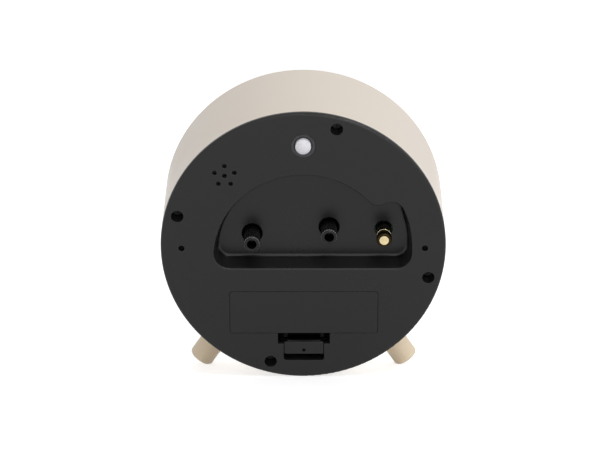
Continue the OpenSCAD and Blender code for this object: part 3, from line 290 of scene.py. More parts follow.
def settled_dust():
    """Thin film of dust on what faces up, thicker in patches."""
    group, given, out = new_group("Settled Dust", {"Vector": None, "Amount": 0.05}, ("Mask",))
    normal = add_node(group, "ShaderNodeNewGeometry").outputs["Normal"]
    up = add_node(group, "ShaderNodeSeparateXYZ", {0: normal}).outputs["Z"]
    facing = calculate(group, "MAXIMUM", up, 0.0)
    patches = noise(group, given["Vector"], 90.0, 5.0)
    specks = noise(group, given["Vector"], 2600.0, 2.0)
    film = calculate(group, "MULTIPLY", patches, specks)
    laid = calculate(group, "MULTIPLY", film, facing)
    return give(group, out, Mask=calculate(group, "MULTIPLY", laid, given["Amount"], clamp=True))


def turned_rings():
    """Fine tool marks in rings round the Z axis of the given vector."""
    group, given, out = new_group("Turned Rings", {"Vector": None, "Spacing": 3000.0}, ("Height",))
    rings = add_node(
        group,
        "ShaderNodeTexWave",
        {"Vector": given["Vector"], "Scale": given["Spacing"], "Distortion": 1.5, "Detail": 2.0},
        wave_type="RINGS",
        rings_direction="Z",
        wave_profile="SIN",
    )
    patch = noise(group, given["Vector"], 700.0, 4.0)
    return give(group, out, Height=calculate(group, "MULTIPLY", rings.outputs["Fac"], patch))


def drawn_metal():
    """Fine lines of rolled or drawn metal along the X axis of the given vector, with dull patches."""
    group, given, out = new_group(
        "Drawn Metal", {"Vector": None, "Lines": 9000.0, "Dulling": 0.15}, ("Height", "Roughness", "Tone")
    )
    long = vector_calculation(group, "MULTIPLY", {0: given["Vector"], 1: (0.04, 1.0, 1.0)})["Vector"]
    patch = noise(group, given["Vector"], 320.0, 4.0)
    return give(
        group,
        out,
        Height=noise(group, long, given["Lines"], 2.0),
        Roughness=calculate(group, "MULTIPLY_ADD", patch, given["Dulling"], 0.24),
        Tone=calculate(group, "MULTIPLY_ADD", patch, 0.24, 0.88),
    )


def printed_card():
    """Short fibres and faint clouding of coated card under print."""
    group, given, out = new_group("Printed Card", {"Vector": None, "Fibre": 5000.0}, ("Height", "Tone"))
    cloud = noise(group, given["Vector"], 60.0, 3.0)
    return give(
        group,
        out,
        Height=noise(group, given["Vector"], given["Fibre"], 4.0, Distortion=1.2),
        Tone=calculate(group, "MULTIPLY_ADD", cloud, 0.06, 0.97),
    )


def round_patch():
    """Mask of a ring round the Z axis, between two radii and two depths, with soft sides."""
    group, given, out = new_group(
        "Round Patch",
        {"Vector": None, "Inner": 0.0, "Outer": 0.001, "Low": -0.001, "High": 0.001, "Feather": 0.0002},
        ("Mask",),
    )
    flat = vector_calculation(group, "MULTIPLY", {0: given["Vector"], 1: (1, 1, 0)})["Vector"]
    reach = vector_calculation(group, "LENGTH", {0: flat})["Value"]
    height = add_node(group, "ShaderNodeSeparateXYZ", {0: given["Vector"]}).outputs["Z"]
    mask = 1.0
    for value, low, high in ((reach, "Inner", "Outer"), (height, "Low", "High")):
        for far, near in ((value, given[low]), (given[high], value)):
            room = calculate(group, "SUBTRACT", far, near)
            inside = calculate(group, "DIVIDE", room, given["Feather"], clamp=True)
            mask = calculate(group, "MULTIPLY", mask, inside)
    return give(group, out, Mask=mask)


def effect(tree, maker, inputs):
    """Places a shared effect in a material; its group is built once, when first asked for."""
    group = bpy.data.node_groups.get(maker.__name__.replace("_", " ").title()) or maker()
    return add_node(tree, "ShaderNodeGroup", inputs, node_tree=group).outputs


def start_material(name, **plain):
    """New material with its shader, object coordinates and any uniform numbers set on the shader itself."""
    material = bpy.data.materials.new(name)
    material.use_nodes = True
    tree = material.node_tree
    shader = tree.nodes["Principled BSDF"]
    for key, value in plain.items():
        shader.inputs[key.replace("_", " ")].default_value = value
    place = add_node(tree, "ShaderNodeTexCoord").outputs["Object"]
    return material, tree, shader, place


def centred(tree, place, middle, turn=(0, 0, 0)):
    """Pattern coordinates with their zero at middle and their axes turned."""
    inputs = {"Vector": place, "Location": middle, "Rotation": turn}
    return add_node(tree, "ShaderNodeMapping", inputs, vector_type="TEXTURE").outputs["Vector"]


def around_axis(tree, place, at):
    """Pattern coordinates whose Z axis stands on the cover's face, at a place in millimetres."""
    return centred(tree, place, STANDING @ Vector((at[0] * MM, at[1] * MM, 0)), STANDING.to_euler())


def patch_mask(tree, place, at, radii, depths, feather):
    """Mask of a ring round a line square to the cover's face; all sizes are millimetres of the back view."""
    reach = zip(("Inner", "Outer", "Low", "High", "Feather"), (*radii, *depths, feather))
    inputs = {"Vector": around_axis(tree, place, at), **{key: size * MM for key, size in reach}}
    return effect(tree, round_patch, inputs)["Mask"]


def moulded(
    name,
    colour,
    rough,
    grain=4000.0,
    depth=0.012,
    drift=30.0,
    uneven=0.06,
    edge=0.25,
    rounding=None,
    dust=0.0,
    patches=(),
    hollows=(),
    **plain,
):
    """Moulded plastic with grain, a drift of tone, polished edges and dust, with painted light and shade
    where asked.

    A painted shade spot is its place, as patch_mask takes it; a patch of painted light is a place with a tint
    and its share.
    """
    material, tree, shader, place = start_material(name, **plain)
    face = effect(
        tree, moulded_texture, {"Vector": place, "Grain": grain, "Drift": drift, "Unevenness": uneven}
    )
    radius = sizes().edge_round if rounding is None else rounding
    rounded = add_node(tree, "ShaderNodeBevel", {"Radius": radius}, samples=6).outputs["Normal"]
    rub = effect(tree, edge_handling, {"Vector": place, "Rounded Normal": rounded})["Mask"]
    film = effect(tree, settled_dust, {"Vector": place, "Amount": dust})["Mask"]
    lighter = tuple(min(1.0, c * (1 + edge) + 0.02 * edge) for c in colour)
    tone = mixed_colour(tree, rub, scaled_colour(tree, colour, face["Tone"]), lighter)
    tone = mixed_colour(tree, film, tone, srgb("b8b4ae"))
    # Each patch lays a pale tint over its place as painted light
    for where, tint, share in patches:
        mask = calculate(tree, "MULTIPLY", patch_mask(tree, place, *where), share)
        tone = mixed_colour(tree, mask, tone, srgb(tint))
    # Painted shade spots: near-black colour where the holes and slots should look deep
    if hollows:
        shade = 0.0
        for where in hollows:
            shade = calculate(tree, "MAXIMUM", shade, patch_mask(tree, place, *where))
        tone = mixed_colour(tree, shade, tone, srgb("0b0b0b"))
        # Painted shade: a metallic black gives no glint, so a shallow hollow looks as deep as the real one
        tree.links.new(shade, shader.inputs["Metallic"])
    tree.links.new(tone, shader.inputs["Base Color"])
    uneven_shine = calculate(tree, "MULTIPLY_ADD", face["Shine"], 0.12, rough)
    smoother = calculate(tree, "MULTIPLY_ADD", rub, -0.3 * rough, uneven_shine)
    tree.links.new(calculate(tree, "ADD", smoother, film, clamp=True), shader.inputs["Roughness"])
    raise_surface(tree, shader, face["Height"], depth, normal=rounded)
    return material


def metal(name, colour, lines=9000.0, dulling=0.15):
    """Rolled or drawn metal with fine lines and dull patches."""
    material, tree, shader, place = start_material(name, Metallic=1.0)
    face = effect(tree, drawn_metal, {"Vector": place, "Lines": lines, "Dulling": dulling})
    radius = sizes().fine_edge_round
    rounded = add_node(tree, "ShaderNodeBevel", {"Radius": radius}, samples=4).outputs["Normal"]
    tree.links.new(scaled_colour(tree, colour, face["Tone"]), shader.inputs["Base Color"])
    tree.links.new(face["Roughness"], shader.inputs["Roughness"])
    raise_surface(tree, shader, face["Height"], 0.004, 0.6, rounded)
    return material


def turned_metal(name, colour, dull, at, polished):
    """Metal with rings round the piece's own axis; its colour is a painted dark reflection, but where it is
    polished between radii and depths a painted bright reflection.
    """
    material, tree, shader, place = start_material(name, Metallic=1.0)
    painted_reflection_mask = 0.0
    for radii, depths in polished:
        painted_reflection_mask = calculate(tree, "MAXIMUM", painted_reflection_mask, patch_mask(tree, place, at, radii, depths, 0.05))
    rings = effect(tree, turned_rings, {"Vector": around_axis(tree, place, at), "Spacing": 2600.0})
    cloud = noise(tree, place, 420.0, 4.0, Roughness=0.6)
    patch = add_node(
        tree, "ShaderNodeMapRange", {"Value": cloud, "From Min": 0.42, "From Max": 0.72}
    ).outputs["Result"]
    painted_reflection_with_stains = calculate(tree, "MULTIPLY_ADD", patch, -0.25, painted_reflection_mask, clamp=True)
    # Painted dark reflection, with painted bright reflection and highlight where masked, broken by stains
    tree.links.new(mixed_colour(tree, painted_reflection_with_stains, dull, colour), shader.inputs["Base Color"])
    tree.links.new(calculate(tree, "MULTIPLY_ADD", patch, 0.15, 0.22), shader.inputs["Roughness"])
    raise_surface(tree, shader, rings["Height"], 0.003, 0.5)
    return material


def printed(name, colour, rough=0.55):
    """Coated card or plate that carries print."""
    material, tree, shader, place = start_material(name)
    card = effect(tree, printed_card, {"Vector": place})
    tree.links.new(scaled_colour(tree, colour, card["Tone"]), shader.inputs["Base Color"])
    uneven_shine = calculate(tree, "MULTIPLY_ADD", card["Height"], 0.1, rough - 0.05)
    tree.links.new(uneven_shine, shader.inputs["Roughness"])
    raise_surface(tree, shader, card["Height"], 0.006, 0.7)
    return material


def finish_nodes(material, *nodes):
    """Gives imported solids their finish."""
    for node in nodes:
        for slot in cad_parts[node].material_slots:
            slot.material = material


# Pieces


def add_piece(name, bm, body, material, sharp_angle=35):
    """Turns a bmesh into a piece that rides on a body, smooth but for its sharp edges."""
    mesh = bpy.data.meshes.new(name)
    for face in bm.faces:
        face.smooth = True
    bm.to_mesh(mesh)
    bm.free()
    mesh.set_sharp_from_angle(angle=math.radians(sharp_angle))
    mesh.materials.append(material)
    piece = bpy.data.objects.new(name, mesh)
    bpy.context.scene.collection.objects.link(piece)
    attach(piece, body)
    return piece


def new_verts(made):
    """Vertices among what an operator made."""
    return [v for v in made if isinstance(v, bmesh.types.BMVert)]


def tidy_mesh(bm):
    """Merges doubles, then turns the faces outwards."""
    bmesh.ops.remove_doubles(bm, verts=bm.verts, dist=1e-6)
    bmesh.ops.recalc_face_normals(bm, faces=bm.faces)


def round_edges(bm, width, segments=3, sharper_than=25):
    """Bevels every edge that turns more than an angle."""
    edges = [e for e in bm.edges if e.calc_face_angle(0) > math.radians(sharper_than)]
    bmesh.ops.bevel(
        bm,
        geom=edges,
        offset=width,
        offset_type="OFFSET",
        segments=segments,
        profile=0.5,
        affect="EDGES",
        clamp_overlap=True,
        material=-1,
    )


def turned_shape(profile, rounding, steps=96):
    """Spins a profile of (radius, height) pairs in millimetres, from axis to axis, round the Z axis."""
    bm = bmesh.new()
    points = [bm.verts.new((radius * MM, 0, height * MM)) for radius, height in profile]
    edges = [bm.edges.new(pair) for pair in zip(points, points[1:])]
    bmesh.ops.spin(
        bm,
        geom=points + edges,
        cent=(0, 0, 0),
        axis=(0, 0, 1),
        dvec=(0, 0, 0),
        angle=math.tau,
        steps=steps,
        use_merge=True,
        use_duplicate=False,
    )
    tidy_mesh(bm)
    round_edges(bm, rounding * MM)
    return bm


def stand_on_cover(bm, axis, height=0.0):
    """Moves a shape from the Z axis to an axis of the back view, at a height over the cover's face."""
    place = STANDING @ Matrix.Translation((axis.x, axis.y, height))
    bmesh.ops.transform(bm, matrix=place, verts=bm.verts)


def back_view_box(node):
    """Lowest and highest corner of a node in the back view."""
    inward = STANDING.inverted()
    points = [inward @ vertex.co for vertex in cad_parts[node].data.vertices]
    return tuple(Vector([end(point[i] for point in points) for i in range(3)]) for end in (min, max))


def axis_of(node):
    """Where the axis of a turned node crosses the plane of the cover's face, in the back view."""
    low, high = back_view_box(node)
    return Vector(((low.x + high.x) / 2, (low.y + high.y) / 2, 0))


def depth_of(node):
    """Middle of a node along the back view's z."""
    low, high = back_view_box(node)
    return (low.z + high.z) / 2


def ribbed_knob(s):
    """Knob with rounded ribs, a chamfered end with a blind hole, and a socket for its stem."""
    radius, length, bore = s.knob_radius, s.knob_length, s.knob_bore
    bm = bmesh.new()
    bmesh.ops.create_circle(bm, cap_ends=False, segments=8 * s.knob_ribs, radius=radius)

    def lay(verts, ring_radius, height, rib_share):
        for vert in verts:
            angle = math.atan2(vert.co.y, vert.co.x)
            groove = 0.5 - 0.5 * math.cos(angle * s.knob_ribs)
            reach = ring_radius - rib_share * s.rib_depth * min(1, 1.35 * groove) ** 1.5
            vert.co = (reach * math.cos(angle), reach * math.sin(angle), height)

    def pull(edges, rings):
        for ring in rings:
            made = bmesh.ops.extrude_edge_only(bm, edges=edges)["geom"]
            edges = [e for e in made if isinstance(e, bmesh.types.BMEdge)]
            lay(new_verts(made), *ring)
        return edges

    # Rings of the chamfer: millimetres in from the ribs and back from the end, and the share of the grooves
    chamfer = (
        (0, 1.0, 1),
        (0.02, 0.8, 0.9),
        (0.12, 0.58, 0.6),
        (0.32, 0.38, 0.2),
        (0.46, 0.2, 0),
        (0.6, 0.06, 0),
        (0.78, 0, 0),
    )
    # Rings of the hole's mouth: millimetres out from the hole and back from the end
    mouth = ((0.16, 0), (0.05, 0.04), (0, 0.15))
    bottom = length - s.bore_depth
    lay(bm.verts, radius, 0, 1)
    first = list(bm.edges)
    top = pull(
        first,
        [(radius - inward * MM, length - back * MM, share) for inward, back, share in chamfer]
        + [(bore + outward * MM, length - back * MM, 0) for outward, back in mouth]
        + [(bore, bottom, 0), (0.3 * bore, bottom - 0.2 * MM, 0)],
    )
    bmesh.ops.edgeloop_fill(bm, edges=top)
    socket = [(radius - s.rib_depth, 0, 0), (s.socket_radius, 0, 0), (s.socket_radius, s.socket_depth, 0)]
    bmesh.ops.edgeloop_fill(bm, edges=pull(first, socket))
    tidy_mesh(bm)
    return bm


class ALARMCLOCK_OT_housing(bpy.types.Operator):
    """Finish the drum, the lens and its ring, the back cover and the battery door with its latch"""

    bl_idname = "alarmclock.housing"
    bl_label = "Housing"

    def execute(self, context):
        cream = moulded(
            "case_cream_plastic",
            colours().case,
            0.34,
            grain=1800,
            depth=0.006,
            edge=0.05,
            dust=0.04,
            # Painted shade on the ends of the drum's cream pegs, so the two small holes look dark
            hollows=[(peg, (-1, 2), (-9, 0), 0.2) for peg in PEGS],
        )
        finish_nodes(cream, "case_body", "lens_ring")
        # Painted light: a paler ring on the dish round the light button
        dish_painted_light = (axis_of("light_button") / MM, (3.4, 5.0), (-1.2, 0.2), 0.5)
        cover = self.dark_plastic("cover_dark_plastic", patches=[(dish_painted_light, "626264", 0.6)])
        finish_nodes(cover, "back_cover")
        finish_nodes(self.dark_plastic("door_dark_plastic"), "battery_door")
        # Painted shade on the dimple, the sides of the tab, and the bar above the tab, whose lower bound is
        # almost straight
        tab_painted_shade = [
            (TAB_DIMPLE, (-1, 0.75), (-3, 0), 0.15),
            (TAB_DIMPLE, (-1, 40), (-9, -1.3), 0.1),
            ((0.2, 19.85), (-1, 60), (-9, 0), 0.1),
        ]
        finish_nodes(self.dark_plastic("latch_dark_plastic", hollows=tab_painted_shade), "door_latch")
        finish_nodes(self.clear_plastic(), "lens")
        return {"FINISHED"}

    def dark_plastic(self, name, **places):
        return moulded(
            name,
            colours().cover,
            0.31,
            grain=3200,
            depth=0.009,
            edge=0.6,
            dust=0.06,
            Specular_IOR_Level=0.34,
            **places,
        )

    def clear_plastic(self):
        """Clear plastic with a faint haze."""
        material, tree, shader, place = start_material(
            "lens_clear_plastic",
            Metallic=0.0,
            Transmission_Weight=1.0,
            IOR=1.49,
            Base_Color=(0.97, 0.98, 0.98, 1),
        )
        haze = effect(tree, moulded_texture, {"Vector": place, "Grain": 900.0, "Drift": 60.0})
        rough = calculate(tree, "MULTIPLY_ADD", haze["Shine"], 0.02, 0.03, clamp=True)
        tree.links.new(rough, shader.inputs["Roughness"])
        raise_surface(tree, shader, haze["Tone"], 0.01, 0.2)
        return material


class ALARMCLOCK_OT_feet(bpy.types.Operator):
    """Finish the two peg feet"""

    bl_idname = "alarmclock.feet"
    bl_label = "Feet"

    def execute(self, context):
        beige = moulded(
            "foot_beige_plastic",
            colours().foot,
            0.42,
            grain=2200,
            depth=0.008,
            drift=120.0,
            edge=0.1,
            dust=0.03,
            Subsurface_Weight=0.08,
            Subsurface_Radius=(0.004, 0.003, 0.002),
        )
        finish_nodes(beige, "foot_left", "foot_right")
        return {"FINISHED"}


class ALARMCLOCK_OT_knobs(bpy.types.Operator):
    """Make the two ribbed knobs"""

    bl_idname = "alarmclock.knobs"
    bl_label = "Ribbed Knobs"

    def execute(self, context):
        knobs = ("time_knob", "alarm_knob")
        black = self.worn_plastic(knobs)
        for node in knobs:
            bm = ribbed_knob(sizes())
            stand_on_cover(bm, axis_of(node), depth_of(node) - sizes().knob_length / 2)
            piece = add_piece(f"{node}_ribbed", bm, node, black, sharp_angle=50)
            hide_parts(node)
        return {"FINISHED"}

    def worn_plastic(self, knobs):
        """Black plastic, with a pale tint round the ends of the ribs as painted glints."""
        radius = sizes().knob_radius / MM
        painted_glint_patches = []
        for node in knobs:
            end = (depth_of(node) + sizes().knob_length / 2) / MM
            # Painted glints: a pale ring round the ends of the ribs
            rib_end_glints = (axis_of(node) / MM, (radius - 0.42, radius + 1), (end - 0.75, end - 0.25), 0.12)
            painted_glint_patches.append((rib_end_glints, "bcbcbe", 0.35))
        return moulded(
            "knob_black_plastic",
            colours().knob,
            0.24,
            grain=3000,
            depth=0.004,
            edge=0.2,
            rounding=sizes().fine_edge_round,
            patches=painted_glint_patches,
            Specular_IOR_Level=0.28,
        )


class ALARMCLOCK_OT_alarm_pin(bpy.types.Operator):
    """Turn the brass alarm pin with its head, groove, body and tip"""

    bl_idname = "alarmclock.alarm_pin"
    bl_label = "Alarm Pin"

    def execute(self, context):
        crown = [(0, 2.22), (1.2, 2.25), (1.95, 2.3), (2.33, 2.22), (2.66, 2.01), (2.87, 1.68)]
        head = [(2.95, 1.3), (2.95, -0.9), (2.85, -1.0)]
        groove = [(2.2, -1.0), (2.2, -2.4), (2.7, -2.4)]
        body = [(2.8, -2.5), (2.8, -13.9)]
        tip = [(1.5, -13.9), (1.5, -18.7), (1.3, -18.9), (0, -18.9)]
        bm = turned_shape(crown + head + groove + body + tip, 0.06)
        axis = axis_of("alarm_pin")
        stand_on_cover(bm, axis)
        # Painted bright reflection on the flat of the crown, and a painted highlight on the edge below the
        # groove
        polished = [((-1, 1.8), (2, 3)), ((2, 4), (-2.6, -2.3))]
        brass = turned_metal("pin_pale_brass", colours().brass, colours().bronze, axis / MM, polished)
        piece = add_piece("alarm_pin_turned", bm, "alarm_pin", brass)
        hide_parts("alarm_pin")
        return {"FINISHED"}


class ALARMCLOCK_OT_light_button(bpy.types.Operator):
    """Make the domed light button with its skirt and collar"""

    bl_idname = "alarmclock.light_button"
    bl_label = "Light Button"

    def execute(self, context):
        cap_radius, dome_height, proud = 3.0, 1.2, 2.0
        collar_radius, collar_top, collar_bottom = 3.9, -5.6, -6.4
        stem_radius = 1.5
        stem_bottom = 2 * depth_of("light_button") / MM - proud
        ball = (cap_radius * cap_radius + dome_height * dome_height) / (2 * dome_height)
        sweep = math.asin(cap_radius / ball)
        steps = 10
        turns = [sweep * i / steps for i in range(steps + 1)]
        dome = [(ball * math.sin(turn), proud - ball * (1 - math.cos(turn))) for turn in turns]
        skirt = [
            (cap_radius, collar_top),
            (collar_radius, collar_top),
            (collar_radius, collar_bottom),
            (stem_radius, collar_bottom),
            (stem_radius, stem_bottom),
            (0, stem_bottom),
        ]
        bm = turned_shape(dome + skirt, 0.12)
        stand_on_cover(bm, axis_of("light_button"))
        white = moulded(
            "button_white_plastic",
            colours().button,
            0.3,
            grain=2600,
            depth=0.003,
            drift=200.0,
            edge=0.02,
            rounding=sizes().fine_edge_round,
            Subsurface_Weight=0.15,
            Subsurface_Radius=(0.003, 0.003, 0.003),
        )
        piece = add_piece("light_button_domed", bm, "light_button", white)
        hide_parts("light_button")
        return {"FINISHED"}


class ALARMCLOCK_OT_dial(bpy.types.Operator):
    """Finish the dial and print its numerals and tracks"""

    bl_idname = "alarmclock.dial"
    bl_label = "Dial"

    def execute(self, context):
        finish_nodes(printed("dial_cream_card", colours().dial), "dial")
        ring = moulded("dial_ring_white_plastic", srgb("eeeae0"), 0.4, grain=2400, edge=0.02)
        finish_nodes(ring, "dial_ring")
        ink = printed("dial_print", colours().ink, 0.5)
        finish_nodes(ink, "hour_bars")
        level = INK_MIDDLE * MM - back_view_box("dial")[0].z
        self.numerals(ink, level)
        self.track("minute_track", ink, level, sizes().minute_radius, marks=60, width=0.28, length=1.3)
        self.track("alarm_track", ink, level, sizes().alarm_radius, marks=48, width=0.2, length=0.9)
        return {"FINISHED"}

    def numerals(self, ink, level):
        """Prints the hours, each upright and centred on its place."""
        bm = bmesh.new()
        for hour in range(1, 13):
            curve = bpy.data.curves.new("numeral", "FONT")
            curve.body = str(hour)
            curve.size = sizes().numeral_height * FONT_FOR_FIGURES
            curve.align_x = "CENTER"
            curve.align_y = "CENTER"
            curve.resolution_u = 4
            curve.extrude = INK_THICKNESS / 2 * MM
            text = bpy.data.objects.new("numeral", curve)
            bpy.context.scene.collection.objects.link(text)
            bpy.context.view_layer.update()
            flat = bpy.data.meshes.new_from_object(text)
            angle = math.radians(30 * hour)
            at = Vector((math.sin(angle), math.cos(angle), 0)) * sizes().numeral_radius
            middle = sum((Vector(corner) for corner in text.bound_box), Vector()) / 8
            flat.transform(Matrix.Translation(at - Vector((middle.x, middle.y, -level))))
            bm.from_mesh(flat)
            bpy.data.objects.remove(text)
            bpy.data.curves.remove(curve)
            bpy.data.meshes.remove(flat)
        bmesh.ops.transform(bm, matrix=DIAL_VIEW, verts=bm.verts)
        tidy_mesh(bm)
        add_piece("dial_numerals", bm, "case", ink)

    def track(self, name, ink, level, radius, marks, width, length):
        """Prints a ring of marks, longer at each hour; their width and length are in millimetres."""
        bm = bmesh.new()
        for i in range(marks):
            longer = 1.35 if i % (marks // 12) == 0 else 1
            mark = bmesh.ops.create_cube(bm, size=1)["verts"]
            bmesh.ops.scale(bm, verts=mark, vec=(width * MM, length * longer * MM, INK_THICKNESS * MM))
            bmesh.ops.translate(bm, verts=mark, vec=(0, radius, level))
            turn = Matrix.Rotation(-math.tau * i / marks, 3, "Z")
            bmesh.ops.rotate(bm, verts=mark, cent=(0, 0, 0), matrix=turn)
        bmesh.ops.transform(bm, matrix=DIAL_VIEW, verts=bm.verts)
        tidy_mesh(bm)
        add_piece(name, bm, "case", ink)


class ALARMCLOCK_OT_hands(bpy.types.Operator):
    """Finish the hands and the cap over the second hand's hub"""

    bl_idname = "alarmclock.hands"
    bl_label = "Hands"

    def execute(self, context):
        lacquer = moulded(
            "hand_black_lacquer",
            colours().hand,
            0.28,
            grain=2500,
            depth=0.002,
            edge=0.8,
            rounding=0.05 * MM,
            Coat_Weight=0.4,
        )
        finish_nodes(lacquer, "hour_hand", "minute_hand")
        gilt = metal("hand_gilt_brass", srgb("c39b4c"), lines=12000, dulling=0.1)
        finish_nodes(gilt, "second_hand", "second_cap", "alarm_hand")
        paint = printed("hand_pale_paint", colours().inlay, 0.6)
        self.inlay("hour_hand", paint, 30 * (HOUR + MINUTE / 60), length=26, widths=(3.4, 2.0))
        self.inlay("minute_hand", paint, 6 * MINUTE, length=38, widths=(2.8, 1.5))
        return {"FINISHED"}

    def inlay(self, node, paint, degrees, length, widths):
        """Thin plate of paint on the outer half of a hand, given its length and its widths at hub and tip."""
        start, end = 0.42 * length, 0.93 * length
        border, thickness, rounding = 0.55, 0.05, 0.015
        near, far = ((widths[0] + (widths[1] - widths[0]) * y / length) / 2 - border for y in (start, end))
        front = -back_view_box(node)[0].z
        bm = bmesh.new()
        corners = [(-near, start), (near, start), (far, end), (-far, end)]
        flat = bm.faces.new([bm.verts.new((x * MM, y * MM, front)) for x, y in corners])
        raised = new_verts(bmesh.ops.extrude_face_region(bm, geom=[flat])["geom"])
        bmesh.ops.translate(bm, verts=raised, vec=(0, 0, thickness * MM))
        tidy_mesh(bm)
        round_edges(bm, rounding * MM, segments=2)
        turn = Matrix.Rotation(-math.radians(degrees), 4, "Z")
        bmesh.ops.transform(bm, matrix=DIAL_VIEW @ turn, verts=bm.verts)
        add_piece(f"{node}_inlay", bm, node, paint)


class ALARMCLOCK_OT_works(bpy.types.Operator):
    """Finish the movement's housing, wheels, arbors and stems"""

    bl_idname = "alarmclock.works"
    bl_label = "Movement"

    def execute(self, context):
        grey = moulded(
            "movement_grey_plastic", srgb("3b3d40"), 0.5, grain=2600, depth=0.015, edge=0.4, dust=0.03
        )
        finish_nodes(grey, "movement_base", "movement_cover")
        white = moulded(
            "wheel_white_plastic",
            srgb("e6e2d6"),
            0.36,
            grain=3000,
            depth=0.004,
            edge=0.03,
            rounding=sizes().fine_edge_round,
        )
        finish_nodes(white, "motion_wheel", "hour_wheel", "alarm_wheel")
        finish_nodes(metal("arbor_brass", srgb("c9a550"), lines=11000), "minute_arbor", "centre_nut")
        steel = metal("stem_steel", srgb("c4c6c8"), lines=10000, dulling=0.2)
        finish_nodes(steel, "second_arbor", "time_stem", "alarm_stem")
        return {"FINISHED"}


class ALARMCLOCK_OT_electrics(bpy.types.Operator):
    """Finish the circuit board, its chip and switches, the lamps and the sounder"""

    bl_idname = "alarmclock.electrics"
    bl_label = "Board, Lamps and Sounder"

    def execute(self, context):
        finish_nodes(self.board(), "circuit_board")
        chip = moulded("chip_black_epoxy", srgb("26282b"), 0.55, grain=4200, depth=0.01)
        finish_nodes(chip, "timer_chip")
        switch = moulded("switch_dark_plastic", srgb("3a3c40"), 0.45, grain=3000, depth=0.01, edge=0.4)
        finish_nodes(switch, "alarm_switch", "tact_switch")
        plunger = moulded("plunger_ivory_plastic", srgb("d8d4c8"), 0.4, grain=3000, depth=0.004)
        finish_nodes(plunger, "switch_plunger")
        finish_nodes(moulded("sounder_black_plastic", srgb("1f2022"), 0.5, grain=3400), "sounder")
        lamp = moulded(
            "lamp_warm_epoxy",
            srgb("fff3c8"),
            0.2,
            grain=1500,
            depth=0.002,
            edge=0.02,
            Transmission_Weight=0.35,
        )
        finish_nodes(lamp, "dial_lamps")
        return {"FINISHED"}

    def board(self):
        """Green lacquer over copper runs, which stand a little proud."""
        material, tree, shader, place = start_material("board_green_lacquer", Coat_Weight=0.5)
        runs = add_node(
            tree,
            "ShaderNodeTexBrick",
            {
                "Vector": around_axis(tree, place, (0, 0)),
                "Scale": 300.0,
                "Mortar Size": 0.09,
                "Brick Width": 0.9,
                "Row Height": 0.42,
            },
            offset=0.37,
            squash=1.6,
            squash_frequency=3,
        ).outputs["Fac"]
        cloud = effect(
            tree, moulded_texture, {"Vector": place, "Grain": 2800.0, "Drift": 80.0, "Unevenness": 0.1}
        )
        green = mixed_colour(tree, runs, srgb("2c6743"), srgb("4a8a5c"))
        tree.links.new(scaled_colour(tree, green, cloud["Tone"]), shader.inputs["Base Color"])
        uneven_shine = calculate(tree, "MULTIPLY_ADD", cloud["Shine"], 0.1, 0.32)
        tree.links.new(uneven_shine, shader.inputs["Roughness"])
        raise_surface(tree, shader, runs, 0.03)
        return material


class ALARMCLOCK_OT_battery(bpy.types.Operator):
    """Finish the cell, its spring and its flat contact"""

    bl_idname = "alarmclock.battery"
    bl_label = "Battery"

    def execute(self, context):
        plated = metal("contact_nickel", srgb("c8cacb"), lines=8000, dulling=0.2)
        finish_nodes(plated, "battery_spring", "battery_plate")
        finish_nodes(self.sleeve(), "battery_cell")
        return {"FINISHED"}

    def sleeve(self):
        """Plain printed sleeve: dark body, one pale band, bare metal at the ends."""
        material, tree, shader, place = start_material("cell_sleeve")
        low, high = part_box("battery_cell")
        middle = (low + high) / 2
        along = add_node(tree, "ShaderNodeSeparateXYZ", {0: centred(tree, place, middle)}).outputs["X"]
        share = add_node(
            tree,
            "ShaderNodeMapRange",
            {"Value": along, "From Min": low.x - middle.x, "From Max": high.x - middle.x},
        ).outputs["Result"]
        bare, dark, pale = "c9cacc", "33363b", "b9a06a"
        colour = self.bands(tree, share, ((0, bare), (0.035, dark), (0.66, pale), (0.9, dark), (0.955, bare)))
        metallic = self.bands(tree, share, ((0, "ffffff"), (0.035, "000000"), (0.955, "ffffff")))
        scuff = effect(tree, drawn_metal, {"Vector": place, "Lines": 5000.0})
        tree.links.new(scaled_colour(tree, colour, scuff["Tone"]), shader.inputs["Base Color"])
        tree.links.new(metallic, shader.inputs["Metallic"])
        tree.links.new(scuff["Roughness"], shader.inputs["Roughness"])
        raise_surface(tree, shader, scuff["Height"], 0.004, 0.4)
        return material

    def bands(self, tree, share, starts):
        """Sharp bands along a share; each is given by its start and colour."""
        ramp = add_node(tree, "ShaderNodeValToRGB", {"Fac": share})
        ramp.color_ramp.interpolation = "CONSTANT"
        stops = ramp.color_ramp.elements
        for index, (start, code) in enumerate(starts):
            # A new ramp has two stops already
            stop = stops[index] if index < 2 else stops.new(start)
            stop.position = start
            stop.color = (*srgb(code), 1)
        return ramp.outputs["Color"]


class ALARMCLOCK_OT_fastenings(bpy.types.Operator):
    """Finish the screws"""

    bl_idname = "alarmclock.fastenings"
    bl_label = "Screws"

    def execute(self, context):
        black = metal("screw_blackened_steel", srgb("3a3a3d"), lines=7000, dulling=0.3)
        finish_nodes(black, "cover_screws")
        zinc = metal("screw_zinc", srgb("b0b3b6"), lines=7000, dulling=0.3)
        finish_nodes(zinc, "board_screws", "movement_screws", "foot_screws")
        return {"FINISHED"}


